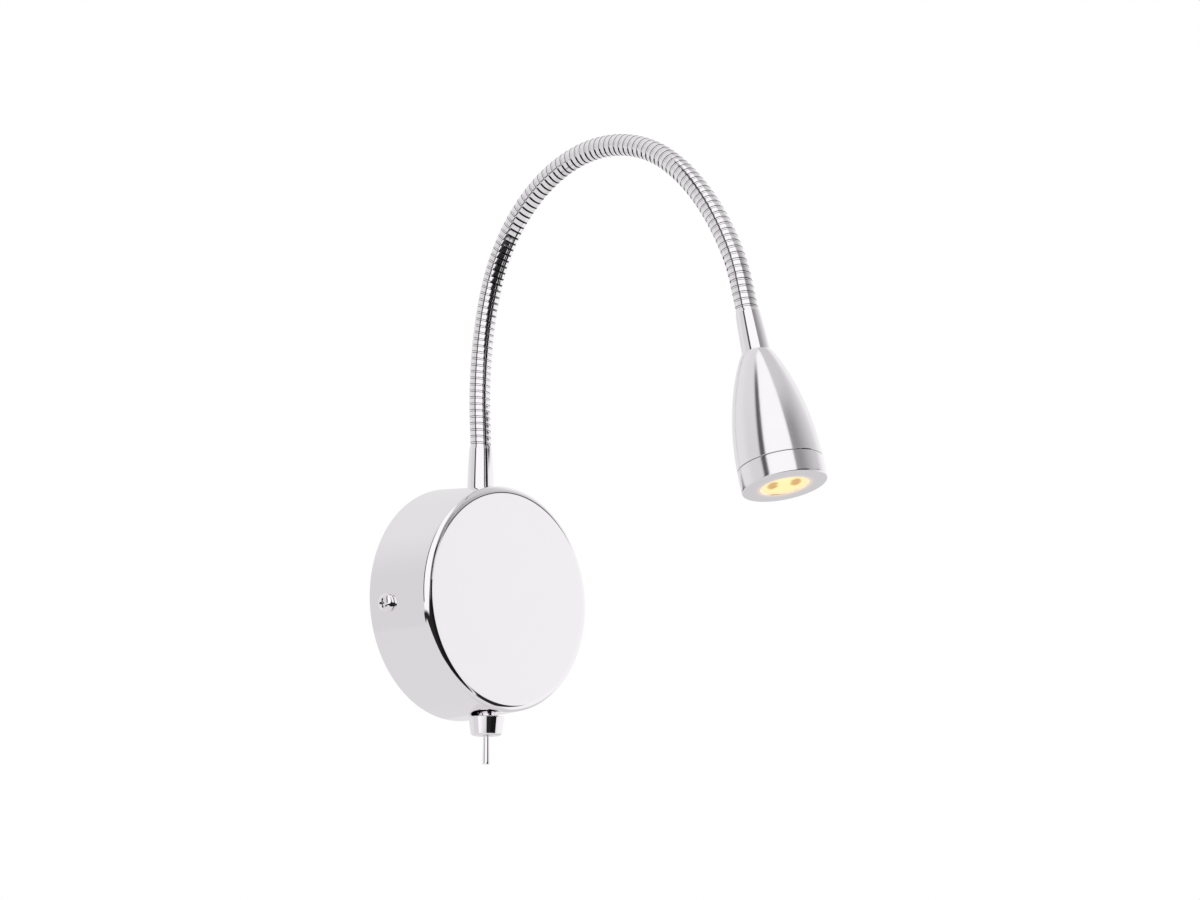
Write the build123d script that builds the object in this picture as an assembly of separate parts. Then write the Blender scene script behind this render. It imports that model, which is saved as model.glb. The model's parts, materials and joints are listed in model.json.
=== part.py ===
"""Bedside wall reading lamp: a round cover on the wall, a bendable neck and a small spot head.

Frame: millimetres, +Z up, the wall is the plane y = 0 and the lamp stands out of it towards -Y.
The origin is the middle of the wall bracket's back, which is also the middle of the cover's rim.
"""
import os
from math import atan2, cos, degrees, radians, sin, sqrt, tan

from build123d import *

# ---------------------------------------------------------------- driving dimensions (mm, degrees)
gap = 0.05                      # between still parts that seat on each other

cover_rim_radius = 44.2         # outside, at the wall
cover_front_radius = 42.1       # the same cone carried on to the front's plane
cover_depth = 29.1
cover_edge_radius = 3.0         # outside, between the side and the front
cover_wall = 0.8

bracket_thickness = 1.5
bracket_height = 24.0
ear_width = 12.0
ear_depth = 14.0                # from the wall
ear_clearance = 1.0             # from the cover's inside
wall_slot_spacing = 64.0
wall_slot_width = 4.5
wall_slot_length = 9.0
cable_hole_radius = 8.0

side_screw_radius = 2.0
side_screw_head_radius = 3.6
side_screw_head_height = 2.5
side_screw_length = 8.0
side_screw_depth = 9.0          # its axis from the wall
side_screw_drop = 5.3           # its axis below level, degrees
screw_clearance = 0.3           # round a screw in a plain hole
hole_margin = 1.0               # how far a hole is cut past the wall that it goes through

earth_screw_radius = 2.0
earth_screw_x = 16.0
earth_screw_z = -5.0
earth_washer_radius = 4.5
earth_washer_thickness = 1.0

block_x = -16.75                # terminal block's middle
block_z = -4.0
block_width = 15.5
block_length = 16.0
block_height = 13.5
sleeve_spacing = 7.7
sleeve_radius = 2.5
sleeve_bore = 1.5
clamp_screw_radius = 1.25
clamp_screw_spacing = 9.0
block_screw_radius = 1.2

driver_width = 44.0
driver_length = 20.0            # along Z
driver_bottom_z = 12.0
driver_wall = 1.2
driver_case_depth = 16.2
driver_lid_thickness = 1.8
driver_pad_thickness = 1.0
driver_board_thickness = 1.2
driver_board_standoff = 2.0
transformer_size = (13.0, 9.5, 11.0)
capacitor_radius = 3.6
capacitor_length = 9.0

ferrule_length = 16.0           # seen, from its seat to its mouth
ferrule_foot_radius = 5.0
ferrule_waist_radius = 4.83     # at ferrule_waist of its length
ferrule_waist = 0.38
ferrule_top_radius = 4.35
ferrule_lip = 1.0               # length of the cone at the mouth
ferrule_bore = 2.5
ferrule_socket_depth = 8.0
stem_radius = 4.0
stem_length = 7.4
stem_clearance = 0.2
lock_nut_width = 12.0           # across its flats
lock_nut_thickness = 3.0
tooth_washer_radius = 6.5
tooth_washer_thickness = 0.6
tooth_count = 10

neck_depth = 12.8               # its foot's axis from the wall
neck_radius = 4.0
neck_groove_radius = 3.5
neck_bore = 1.9
neck_pitch = 2.53               # from rib to rib
neck_groove_width = 0.3         # at its bottom
neck_groove_slope = 0.27        # length of each flank
ribs_per_link = 5
ribs_per_stub = 7
joint_count = 18
joint_gap = 1.6                 # between two links, along the neck
knuckle_radius = 3.0
knuckle_clearance = 0.2
spigot_radius = 3.0
# the neck's heading from upright, leaning out from the wall, at these lengths from the ferrule
heading_lengths = (0.0, 30.0, 60.0, 90.0, 120.0, 150.0, 180.0, 210.0, 247.0)
heading_degrees = (-3.0, 3.0, 16.0, 41.0, 70.0, 101.0, 131.0, 148.0, 166.0)

shell_length = 42.0
shell_radius = 15.0
shell_top_radius = 5.2
shell_mouth_depth = 5.0
shell_mouth_radius = 12.6
shell_board_radius = 11.5
shell_seat = 30.0               # from the shell's top to the spreader's seat
shell_core_radius = 6.0
shell_core_top = 12.0
seam = 0.25
bezel_height = 8.15
bezel_bore = 11.0
bezel_lip = 1.4
bezel_opening_radius = 8.3
bezel_edge = 0.4

spreader_thickness = 3.0
board_radius = 10.0
board_thickness = 1.6
emitter_size = 5.0
emitter_thickness = 0.8
emitter_dome_radius = 1.9
lens_flange_thickness = 1.0
lens_root_radius = 4.0
lens_clearance = 0.3
holder_foot_height = 2.4
lead_radius = 0.75
head_lead_spread = 5.0          # the leads' distance from the axis where they pass the board

switch_depth = 17.0             # its axis from the wall
switch_body_width = 13.2
switch_body_depth = 8.0
switch_body_height = 11.0
bushing_radius = 3.175
bushing_recess = 0.5            # from the dress nut's foot up to the bushing's end
dress_nut_radius = 6.7
dress_nut_height = 7.2
dress_nut_foot_radius = 4.8
inner_nut_width = 8.0
inner_nut_thickness = 2.0
lever_pivot_height = 6.2        # above the dress nut's foot
lever_reach = 10.5              # below the dress nut's foot
lever_ball_radius = 1.85
lever_root_radius = 1.2
lever_tip_radius = 1.42
lever_arm_radius = 0.6
lever_arm_length = 8.0
lever_swing = 11.0              # each way, degrees
lever_clearance = 0.25
pivot_pin_radius = 0.4
lug_width = 2.0
lug_thickness = 0.8
lug_length = 4.5
lug_spacing = 4.7


# ---------------------------------------------------------------- shapes that several parts use
def turned(*outline):
    """A solid turned about Z from a closed outline of (radius, height) points."""
    return revolve(Plane.XZ * make_face(Polyline(*outline, close=True)), Axis.Z, 360)


def turned_edges(*edges):
    """A solid turned about Z from the edges of a closed outline."""
    return revolve(Plane.XZ * make_face(edges), Axis.Z, 360)


def rod(radius, low, high, x=0.0, y=0.0):
    """An upright cylinder between two heights."""
    return Pos(x, y, low) * Cylinder(radius, high - low, align=(Align.CENTER, Align.CENTER, Align.MIN))


def block(low, high):
    """A box between two corners."""
    size = [b - a for a, b in zip(low, high)]
    return Pos(*low) * Box(*size, align=(Align.MIN, Align.MIN, Align.MIN))


def hex_nut(across_flats, low, high, bore):
    """A nut on the Z axis with its corners chamfered off."""
    prism = Pos(0, 0, low) * extrude(RegularPolygon(across_flats / 2, 6, major_radius=False), high - low)
    corner = across_flats / 2 / cos(radians(30))
    cut = (corner - across_flats / 2) * 0.6
    middle = turned((0, low), (corner - cut, low), (corner, low + cut), (corner, high - cut),
                    (corner - cut, high), (0, high))
    return (prism & middle) - rod(bore, low - 1, high + 1)


def screw(shank_radius, shank_length, head_radius, head_height):
    """A pan head screw with a cross recess: its head's seat is z = 0 and its shank points down."""
    rim = head_height * 0.4
    dome = ThreePointArc((head_radius, rim), (head_radius * 0.72, head_height * 0.86), (0, head_height))
    head = turned_edges(Line((0, 0), (head_radius, 0)), Line((head_radius, 0), (head_radius, rim)), dome,
                        Line((0, head_height), (0, 0)))
    recess_depth = head_height * 0.6
    arm = (head_radius * 1.15, head_radius * 0.26, recess_depth)
    seat = Pos(0, 0, head_height - recess_depth / 2 + gap)
    recess = seat * Box(*arm) + seat * Rot(0, 0, 90) * Box(*arm)
    return head - recess + rod(shank_radius, -shank_length, 0)


def lead(points, radii):
    """A round insulated wire along straight runs joined by tangent arcs."""
    path = FilletPolyline(*points, radius=radii)
    start = Plane(origin=path @ 0, z_dir=path % 0)
    return sweep(start * Circle(lead_radius), path)


# ---------------------------------------------------------------- cover
def cover_radius(depth):
    """The cover's outside radius at a depth from the wall."""
    return cover_rim_radius + (cover_front_radius - cover_rim_radius) * depth / cover_depth


neck_axis_y = -neck_depth
cover_slope = atan2(cover_rim_radius - cover_front_radius, cover_depth)
cover_inside = cover_wall / cos(cover_slope)    # the wall's thickness measured square to the axis
past_cover = max(cover_rim_radius, cover_front_radius) + hole_margin


def cover_narrowest(half_width, depth):
    """The cover's least outside radius within a half width of a depth."""
    return min(cover_radius(depth - half_width), cover_radius(depth + half_width))


def cover_widest(half_width, depth):
    """The cover's greatest outside radius within a half width of a depth."""
    return max(cover_radius(depth - half_width), cover_radius(depth + half_width))


def cover_form(inset):
    """The cover's filled outer form, drawn in by an inset (or out, where it is negative)."""
    front = -cover_depth + inset
    reach = inset / cos(cover_slope)
    rim = cover_rim_radius - reach
    corner = cover_radius(cover_depth - inset) - reach
    outline = make_face(Polyline((0, 0), (rim, 0), (corner, front), (0, front), close=True))
    edge = outline.vertices().sort_by(Axis.Y)[0:2].sort_by(Axis.X)[-1]
    return revolve(fillet(edge, cover_edge_radius - inset), Axis.Y, 360)


side_screw_seat = cover_radius(side_screw_depth)
ear_face = cover_radius(ear_depth) - cover_inside - ear_clearance


def side_plane(side, radius):
    """A plane square to a side screw, at a radius from the cover's axis; side is -1 or 1."""
    angle = radians(side_screw_drop)
    out = Vector(side * cos(angle), 0, -sin(angle))
    return Plane(origin=out * radius + Vector(0, -side_screw_depth, 0), x_dir=(0, 1, 0), z_dir=out)


def make_cover():
    """The deep-drawn cup with its four holes."""
    cup = cover_form(0) - cover_form(cover_wall)
    cup -= rod(stem_radius + stem_clearance, 0, past_cover, y=neck_axis_y)
    cup -= rod(bushing_radius + screw_clearance / 2, -past_cover, 0, y=-switch_depth)
    through = side_screw_seat - ear_face + hole_margin
    for side in (-1, 1):
        cup -= side_plane(side, ear_face) * rod(side_screw_radius + screw_clearance, 0, through)
    return cup


# ---------------------------------------------------------------- wall bracket
def make_bracket():
    """A steel strap with two slots, a cable hole and an ear bent forward at each end."""
    half = ear_face - bracket_thickness / 2 - 0.1
    strap = block((-half, -bracket_thickness, -bracket_height / 2), (half, 0, bracket_height / 2))
    front = Plane(origin=(0, 0, 0), x_dir=(1, 0, 0), z_dir=(0, -1, 0))
    for side in (-1, 1):
        slot = SlotOverall(wall_slot_length, wall_slot_width)
        slot = front * Pos(side * wall_slot_spacing / 2, 0) * slot
        strap -= extrude(slot, bracket_thickness * 2, both=True)
    strap -= front * rod(cable_hole_radius, -1, bracket_thickness + 1)
    strap -= front * rod(earth_screw_radius + gap, -1, bracket_thickness + 1,
                         x=earth_screw_x, y=earth_screw_z)
    strap -= front * rod(block_screw_radius + gap, -1, bracket_thickness + 1, x=block_x, y=block_z)
    for side in (-1, 1):
        plane = side_plane(side, ear_face - bracket_thickness)
        ear = plane * block((side_screw_depth - ear_depth, -ear_width / 2, 0),
                            (side_screw_depth, ear_width / 2, bracket_thickness))
        strap += ear
        strap -= plane * rod(side_screw_radius + gap, -1, bracket_thickness + 1)
    return strap


def make_side_screws():
    """The two screws that hold the cover on the bracket's ears, their heads seated on its side."""
    seated = cover_form(-gap)
    screws = []
    for side in (-1, 1):
        plane = side_plane(side, side_screw_seat)
        head = plane * screw(side_screw_radius, gap, side_screw_head_radius, side_screw_head_height)
        head += plane * rod(side_screw_head_radius, -1, gap)
        head -= seated
        shank = plane * rod(side_screw_radius, -side_screw_length, side_screw_head_height * 0.3)
        screws.append(head + shank)
    return Compound(children=screws)


front_of_strap = Plane(origin=(0, -bracket_thickness, 0), x_dir=(1, 0, 0), z_dir=(0, -1, 0))


def make_earth_washer():
    """The cupped washer that traps the earth wire."""
    cup = turned((earth_screw_radius + gap, gap), (earth_washer_radius, gap),
                 (earth_washer_radius, earth_washer_thickness),
                 (earth_washer_radius - 0.6, earth_washer_thickness),
                 (earth_washer_radius - 0.9, earth_washer_thickness * 0.6),
                 (earth_screw_radius + gap, earth_washer_thickness * 0.6))
    return front_of_strap * Pos(earth_screw_x, earth_screw_z, 0) * cup


def make_earth_screw():
    """The earth screw through its washer into the strap, its end level with the strap's back."""
    seat = earth_washer_thickness * 0.6 + gap
    body = screw(earth_screw_radius, seat + bracket_thickness, earth_screw_radius * 1.6, 2.0)
    return front_of_strap * Pos(earth_screw_x, earth_screw_z, seat) * body


# ---------------------------------------------------------------- terminal block
sleeve_depth = block_height / 2                 # the sleeves' axes from the strap
sleeve_xs = (block_x - sleeve_spacing / 2, block_x + sleeve_spacing / 2)
clamp_zs = (block_z - clamp_screw_spacing / 2, block_z + clamp_screw_spacing / 2)
block_front = -bracket_thickness - block_height


def at_pole(x, z):
    """A place on the front of the terminal block, facing out."""
    return Plane(origin=(x, block_front, z), x_dir=(1, 0, 0), z_dir=(0, -1, 0))


def sleeve_axis(x):
    """A place on a sleeve's axis, in line with the wires."""
    return Pos(x, -bracket_thickness - sleeve_depth, block_z)


def make_block_housing():
    """The moulded two-pole housing with its wire ways and screw wells."""
    low = (block_x - block_width / 2, block_front, block_z - block_length / 2)
    high = (block_x + block_width / 2, -bracket_thickness - gap, block_z + block_length / 2)
    body = block(low, high)
    body = fillet(body.edges().filter_by(Axis.Z), 0.8)
    for x in sleeve_xs:
        body -= sleeve_axis(x) * Cylinder(sleeve_radius + gap, block_length + 2)
        for z in clamp_zs:
            body -= at_pole(x, z) * rod(clamp_screw_radius + 0.45, -sleeve_depth, 1)
    well = at_pole(block_x, block_z)
    body -= well * rod(block_screw_radius + gap, -block_height - 1, 1)
    body -= well * rod(block_screw_radius * 1.9 + gap, -3.0, 1)
    return body


def make_block_sleeves():
    """The brass sleeves that clamp the wires."""
    sleeves = []
    for x in sleeve_xs:
        tube = sleeve_axis(x) * (Cylinder(sleeve_radius, block_length - 2)
                                 - Cylinder(sleeve_bore, block_length + 2))
        for z in clamp_zs:
            tube -= at_pole(x, z) * rod(clamp_screw_radius + gap, -sleeve_depth, 1)
        sleeves.append(tube)
    return Compound(children=sleeves)


def make_clamp_screws():
    """The four slotted grub screws of the sleeves."""
    grub = rod(clamp_screw_radius, -sleeve_depth + sleeve_bore * 0.5, -1.0)
    grub -= Pos(0, 0, -1.0) * Box(clamp_screw_radius * 2.2, 0.5, 1.2)
    return Compound(children=[at_pole(x, z) * grub for x in sleeve_xs for z in clamp_zs])


def make_block_screw():
    """The screw that holds the terminal block on the strap."""
    head = 1.6
    length = block_height - 3.0 + bracket_thickness
    body = screw(block_screw_radius, length, block_screw_radius * 1.9, head)
    return at_pole(block_x, block_z) * Pos(0, 0, -3.0 + gap / 2) * body


# ---------------------------------------------------------------- LED driver
driver_front = -cover_depth + cover_wall + driver_pad_thickness
driver_back = driver_front + driver_case_depth
driver_top_z = driver_bottom_z + driver_length
driver_half = driver_width / 2
input_lead_xs = (sleeve_xs[1], -sleeve_xs[1])   # neutral, switched live
output_lead_xs = (-lead_radius * 1.1, lead_radius * 1.1)


def make_driver_pad():
    """The foam tape between the driver and the cover's front."""
    margin = 3.0
    low = (-driver_half + margin, -cover_depth + cover_wall + gap, driver_bottom_z + margin)
    high = (driver_half - margin, driver_front - gap, driver_top_z - margin)
    return block(low, high)


def make_driver_case():
    """The driver's moulded tray, open towards the wall."""
    outside = block((-driver_half, driver_front, driver_bottom_z),
                    (driver_half, driver_back, driver_top_z))
    outside = fillet(outside.edges().filter_by(Axis.Y), 1.5)
    inside = block((-driver_half + driver_wall, driver_front + driver_wall, driver_bottom_z + driver_wall),
                   (driver_half - driver_wall, driver_back + 1, driver_top_z - driver_wall))
    tray = outside - inside
    for x in input_lead_xs:
        tray -= rod(lead_radius + gap, driver_bottom_z - 1, driver_bottom_z + 2, x=x, y=-switch_depth - 1)
    for x in output_lead_xs:
        tray -= rod(lead_radius + gap, driver_top_z - 2, driver_top_z + 1, x=x, y=neck_axis_y)
    return tray


def make_driver_lid():
    """The driver's snap lid with a lip inside the tray."""
    back = driver_back + gap
    front = back + driver_lid_thickness
    lid = block((-driver_half, back, driver_bottom_z), (driver_half, front, driver_top_z))
    lid = fillet(lid.edges().filter_by(Axis.Y), 1.5)
    fit = driver_wall + gap
    lip = block((-driver_half + fit, back - 1.0, driver_bottom_z + fit),
                (driver_half - fit, back, driver_top_z - fit))
    lip -= block((-driver_half + fit + 1, back - 2.0, driver_bottom_z + fit + 1),
                 (driver_half - fit - 1, back, driver_top_z - fit - 1))
    return lid + lip


board_face = driver_front + driver_wall + driver_board_standoff + driver_board_thickness


def make_driver_board():
    """The driver's circuit board on four posts' height above the tray's floor."""
    inset = driver_wall + 0.3
    low = (-driver_half + inset, board_face - driver_board_thickness, driver_bottom_z + inset)
    high = (driver_half - inset, board_face, driver_top_z - inset)
    board = block(low, high)
    for x in (-1, 1):
        for z in (driver_bottom_z + 4, driver_top_z - 4):
            foot = (x * (driver_half - 4) - 1, driver_front + driver_wall + gap, z - 1)
            board += block(foot, (foot[0] + 2, board_face - driver_board_thickness, foot[2] + 2))
    return board


def make_transformer():
    """The driver's transformer: a wound bobbin between the limbs of a ferrite core."""
    width, height, length = transformer_size
    centre = (driver_bottom_z + driver_top_z) / 2
    core = block((-width / 2, board_face + gap, centre - length / 2),
                 (width / 2, board_face + height, centre + length / 2))
    side = width * 0.2
    window = block((-width / 2 + side, board_face - 1, centre - length / 2 + 1.5),
                   (width / 2 - side, board_face + height + 1, centre + length / 2 - 1.5))
    winding = Rot(90, 0, 0) * Cylinder(width * 0.28, height * 0.9)
    winding = Pos(0, board_face + gap + height / 2, centre) * winding
    return core - window + winding


def make_capacitors():
    """The driver's input and output capacitors, lying along the board."""
    centre = (driver_bottom_z + driver_top_z) / 2
    out = driver_half - driver_wall - capacitor_radius * 2
    cans = []
    for side in (-1, 1):
        can = rod(capacitor_radius, centre - capacitor_length / 2, centre + capacitor_length / 2,
                  x=side * out, y=board_face + gap + capacitor_radius)
        cans.append(fillet(can.edges().filter_by(GeomType.CIRCLE), 0.6))
    return Compound(children=cans)


# ---------------------------------------------------------------- ferrules
def ferrule_body():
    """A ferrule's outer form with its foot at z = 0 and its mouth up."""
    waist = (ferrule_waist_radius, ferrule_length * ferrule_waist)
    top = ferrule_length - ferrule_lip
    side = ThreePointArc((ferrule_foot_radius, 0), waist, (ferrule_top_radius, top))
    return turned_edges(Line((0, 0), (ferrule_foot_radius, 0)), side,
                        Line((ferrule_top_radius, top), (neck_radius, ferrule_length)),
                        Line((neck_radius, ferrule_length), (0, ferrule_length)),
                        Line((0, ferrule_length), (0, 0)))


def ferrule_hollow():
    """What is bored out of a ferrule: the wire way and the neck's socket."""
    way = rod(ferrule_bore, -stem_length - 1, ferrule_length)
    return way + rod(spigot_radius + gap, ferrule_length - ferrule_socket_depth, ferrule_length + 1)


base_seat_z = cover_radius(neck_depth)
base_mouth_z = base_seat_z + ferrule_length


def make_base_ferrule():
    """The ferrule that holds the neck on the cover, its foot cut to the cover's curve."""
    foot = ferrule_body() + rod(ferrule_foot_radius, -1.5, 0)
    seat = Pos(0, neck_axis_y, base_seat_z)
    body = seat * foot - cover_form(-gap) + seat * rod(stem_radius, -stem_length, 1)
    return body - seat * ferrule_hollow()


def flat_under(half_width, depth):
    """How far from the cover's axis a flat of a half width, centred at a depth, clears its inside."""
    inside = cover_narrowest(half_width, depth) - cover_inside
    return sqrt(inside ** 2 - half_width ** 2) - gap


washer_top_z = flat_under(tooth_washer_radius, neck_depth)
lock_nut_top_z = washer_top_z - tooth_washer_thickness - gap


def make_tooth_washer():
    """The toothed washer between the cover and the lock nut."""
    low = washer_top_z - tooth_washer_thickness
    ring = rod(tooth_washer_radius, low, washer_top_z) - rod(stem_radius + gap, low - 1, washer_top_z + 1)
    for index in range(tooth_count):
        notch = Pos(tooth_washer_radius, 0, low) * Box(1.6, 1.2, 4)
        ring -= Rot(0, 0, 360 * index / tooth_count) * notch
    return Pos(0, neck_axis_y, 0) * ring


def make_lock_nut():
    """The nut that holds the base ferrule, inside the cover."""
    nut = hex_nut(lock_nut_width, lock_nut_top_z - lock_nut_thickness, lock_nut_top_z, stem_radius + gap)
    return Pos(0, neck_axis_y, 0) * nut


# ---------------------------------------------------------------- neck
link_length = ribs_per_link * neck_pitch
stub_length = ribs_per_stub * neck_pitch
spigot_length = ferrule_socket_depth - 0.5
# the first piece leans a little on its upright ferrule, so it starts this much above the mouth
stub_tilt_lift = neck_groove_radius * sin(radians(abs(heading_degrees[0])))


def heading(length):
    """The neck's angle from upright at a length from the ferrule, by straight lines between stations."""
    stations = list(zip(heading_lengths, heading_degrees))
    for (low, start), (high, end) in zip(stations, stations[1:]):
        if length <= high:
            return start + (end - start) * (length - low) / (high - low)
    return heading_degrees[-1]


def neck_planes():
    """One plane for each piece of the neck: its start, with z along it and x across the arch."""
    lengths = [stub_length] + [link_length] * (joint_count - 1) + [stub_length]
    place = Vector(0, neck_axis_y, base_mouth_z)
    planes = []
    run = 0.0
    for index, length in enumerate(lengths):
        angle = heading(run + length / 2)
        if index == 0:
            angle = heading_degrees[0]
        if index == joint_count:
            angle = heading_degrees[-1]
        along = Vector(0, -sin(radians(angle)), cos(radians(angle)))
        planes.append(Plane(origin=place, x_dir=(1, 0, 0), z_dir=along))
        place += along * length
        run += length
    return planes, place


links, head_start = neck_planes()
head_axis = links[-1].z_dir
head_plane = Plane(origin=head_start, x_dir=(1, 0, 0), z_dir=head_axis)


def ribbed(start, end, first, count):
    """A ribbed bar from start to end: each rib is a ruled loft through four circles.

    The ribs lie one pitch apart from the height first, and the bar's ends cut the outer ribs short.
    """
    flank = neck_groove_width / 2
    shoulder = flank + neck_groove_slope
    circles = [(start, neck_groove_radius), (start + neck_groove_slope, neck_radius)]
    for index in range(count):
        low = first + index * neck_pitch
        if index > 0:
            circles += [(low + flank, neck_groove_radius), (low + shoulder, neck_radius)]
        if index < count - 1:
            high = low + neck_pitch
            circles += [(high - shoulder, neck_radius), (high - flank, neck_groove_radius)]
    circles += [(end - neck_groove_slope, neck_radius), (end, neck_groove_radius)]
    rings = [Plane(origin=(0, 0, height), x_dir=(1, 0, 0), z_dir=(0, 0, 1)) * Circle(radius)
             for height, radius in circles]
    return loft(rings, ruled=True)


def make_link(index):
    """One piece of the neck: ribs outside, a bore inside, a knuckle ahead and a socket behind."""
    first = index == 0
    last = index == joint_count
    length = stub_length if first or last else link_length
    ribs = ribs_per_stub if first or last else ribs_per_link
    start = gap + stub_tilt_lift if first else joint_gap / 2
    end = length - gap if last else length - joint_gap / 2
    body = ribbed(start, end, 0, ribs)
    if not first:
        body -= Sphere(knuckle_radius + knuckle_clearance)
    if last:
        body += rod(spigot_radius, end, length + spigot_length)
    else:
        body += Pos(0, 0, length) * Sphere(knuckle_radius)
    placed = links[index] * body
    if first:
        spigot = rod(spigot_radius, -spigot_length, start + neck_radius / 2)
        placed += Pos(0, neck_axis_y, base_mouth_z) * spigot
    return placed - links[index] * rod(neck_bore, -ferrule_socket_depth - 1, length + ferrule_socket_depth)


# ---------------------------------------------------------------- head
shell_top = ferrule_length                      # all along the head's axis, from the neck's end
shell_end = shell_top + shell_length
bezel_start = shell_end + seam
face = bezel_start + bezel_height
spreader_top = shell_top + shell_seat + gap
board_top = spreader_top + spreader_thickness + gap
emitter_top = board_top + board_thickness + gap
lens_face = face - bezel_lip - gap
lens_flange_radius = bezel_bore - gap
lens_root = emitter_top + emitter_thickness + 0.3
holder_top = board_top + board_thickness + gap


def make_head_ferrule():
    """The same ferrule upside down at the neck's far end, screwed into the shell."""
    whole = ferrule_body() + rod(stem_radius, -stem_length, 0) - ferrule_hollow()
    return head_plane * Pos(0, 0, ferrule_length) * Rot(180, 0, 0) * whole


def make_shell():
    """The turned bullet, with a threaded hole on top, a core bore, a seat and a mouth."""
    top = shell_top + gap
    span = shell_radius - shell_top_radius
    outline = Spline((shell_top_radius, top), (shell_top_radius + span * 0.31, top + shell_length * 0.13),
                     (shell_top_radius + span * 0.69, top + shell_length * 0.44),
                     (shell_top_radius + span * 0.90, top + shell_length * 0.68),
                     (shell_radius, shell_end), tangents=((1, 1.1), (0, 1)))
    body = turned_edges(Line((0, top), (shell_top_radius, top)), outline,
                        Line((shell_radius, shell_end), (0, shell_end)), Line((0, shell_end), (0, top)))
    body -= rod(stem_radius + gap, top - 1, shell_top + stem_length + 1)
    body -= rod(ferrule_bore, top, shell_top + shell_core_top)
    body -= rod(shell_core_radius, shell_top + shell_core_top, shell_end)
    body -= rod(shell_board_radius, shell_top + shell_seat, shell_end)
    body -= rod(shell_mouth_radius, shell_end - shell_mouth_depth, shell_end + 1)
    return head_plane * body


def make_bezel():
    """The ring that screws into the shell's mouth and holds the lens."""
    spigot = shell_mouth_radius - gap
    spigot_top = shell_end - shell_mouth_depth + gap
    lip = face - bezel_lip
    cone = bezel_lip * 0.35
    ring = turned((bezel_bore, spigot_top), (spigot, spigot_top), (spigot, bezel_start),
                  (shell_radius - bezel_edge, bezel_start), (shell_radius, bezel_start + bezel_edge),
                  (shell_radius, face - bezel_edge), (shell_radius - bezel_edge, face),
                  (bezel_opening_radius + cone / 2, face), (bezel_opening_radius, face - cone),
                  (bezel_opening_radius, lip), (bezel_bore, lip))
    return head_plane * ring


def make_spreader():
    """The heat spreader disc on the shell's seat, with two wire holes."""
    disc = rod(shell_board_radius - gap, spreader_top, spreader_top + spreader_thickness)
    for side in (-1, 1):
        disc -= rod(lead_radius + 0.3, spreader_top - 1, board_top + 1, x=side * head_lead_spread)
    return head_plane * disc


def make_led_board():
    """The round metal-core board of the LED, with two wire holes."""
    disc = rod(board_radius, board_top, board_top + board_thickness)
    for side in (-1, 1):
        disc -= rod(lead_radius + 0.3, board_top - 1, board_top + board_thickness + 1,
                    x=side * head_lead_spread)
    return head_plane * disc


def make_emitter():
    """The LED: a square ceramic base under a silicone dome."""
    half = emitter_size / 2
    base = block((-half, -half, emitter_top), (half, half, emitter_top + emitter_thickness))
    dome = Pos(0, 0, emitter_top + emitter_thickness) * Sphere(emitter_dome_radius)
    dome &= rod(emitter_size, emitter_top + emitter_thickness / 2, emitter_top + emitter_size)
    return head_plane * (base + dome)


lens_cone_end = lens_face - lens_flange_thickness
lens_cone_radius = lens_flange_radius - 0.8


def make_lens():
    """The clear collimating lens: a cone over the LED with a flange behind the bezel's lip."""
    body = turned((0, lens_root), (lens_root_radius, lens_root), (lens_cone_radius, lens_cone_end),
                  (lens_flange_radius, lens_cone_end), (lens_flange_radius, lens_face), (0, lens_face))
    pocket = emitter_dome_radius + 0.5
    body -= rod(pocket, lens_root - 1, emitter_top + emitter_thickness + emitter_dome_radius + 0.6)
    return head_plane * body


def make_lens_holder():
    """The moulded cup round the lens, standing on the board, with room for the leads under it."""
    outer = lens_cone_radius
    slope = (lens_cone_radius - lens_root_radius) / (lens_cone_end - lens_root)
    low = holder_top
    foot = holder_top + holder_foot_height
    inner_foot = lens_root_radius + slope * (foot - lens_root) + lens_clearance
    high = lens_cone_end - gap
    inner_high = lens_root_radius + slope * (high - lens_root) + lens_clearance
    rim = high - (inner_high - outer + 0.4) / slope
    cup = turned((outer - 1.2, low), (outer, low), (outer, rim), (outer - 0.4, rim),
                 (inner_foot, foot), (outer - 1.2, foot))
    return head_plane * cup


def make_head_leads():
    """The two wires from the neck to the LED board."""
    leads = []
    for side in (-1, 1):
        inner = side * lead_radius * 1.1
        outer = side * head_lead_spread
        start = shell_top + 1
        points = [(inner, 0, start), (inner, 0, shell_top + shell_core_top + 2),
                  (outer, 0, shell_top + shell_seat - 4), (outer, 0, board_top + board_thickness)]
        leads.append(head_plane * lead(points, [6.0, 6.0]))
    return Compound(children=leads)


# ---------------------------------------------------------------- switch
switch_y = -switch_depth
inner_nut_low_z = -flat_under(inner_nut_width / 2 / cos(radians(30)), switch_depth)
body_low_z = inner_nut_low_z + inner_nut_thickness + gap
body_top_z = body_low_z + switch_body_height
dress_nut_top_z = -cover_widest(dress_nut_radius, switch_depth) - gap
dress_nut_low_z = dress_nut_top_z - dress_nut_height
bushing_end_z = dress_nut_low_z + bushing_recess
lever_pivot_z = dress_nut_low_z + lever_pivot_height
lever_tip_z = dress_nut_low_z - lever_reach
bushing_bore = lever_ball_radius + lever_clearance
bushing_mouth = (lever_root_radius / cos(radians(lever_swing)) + lever_clearance
                 + (lever_pivot_z - bushing_end_z) * tan(radians(lever_swing)))
cavity_top_z = lever_pivot_z + lever_arm_length + 1.5


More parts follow.
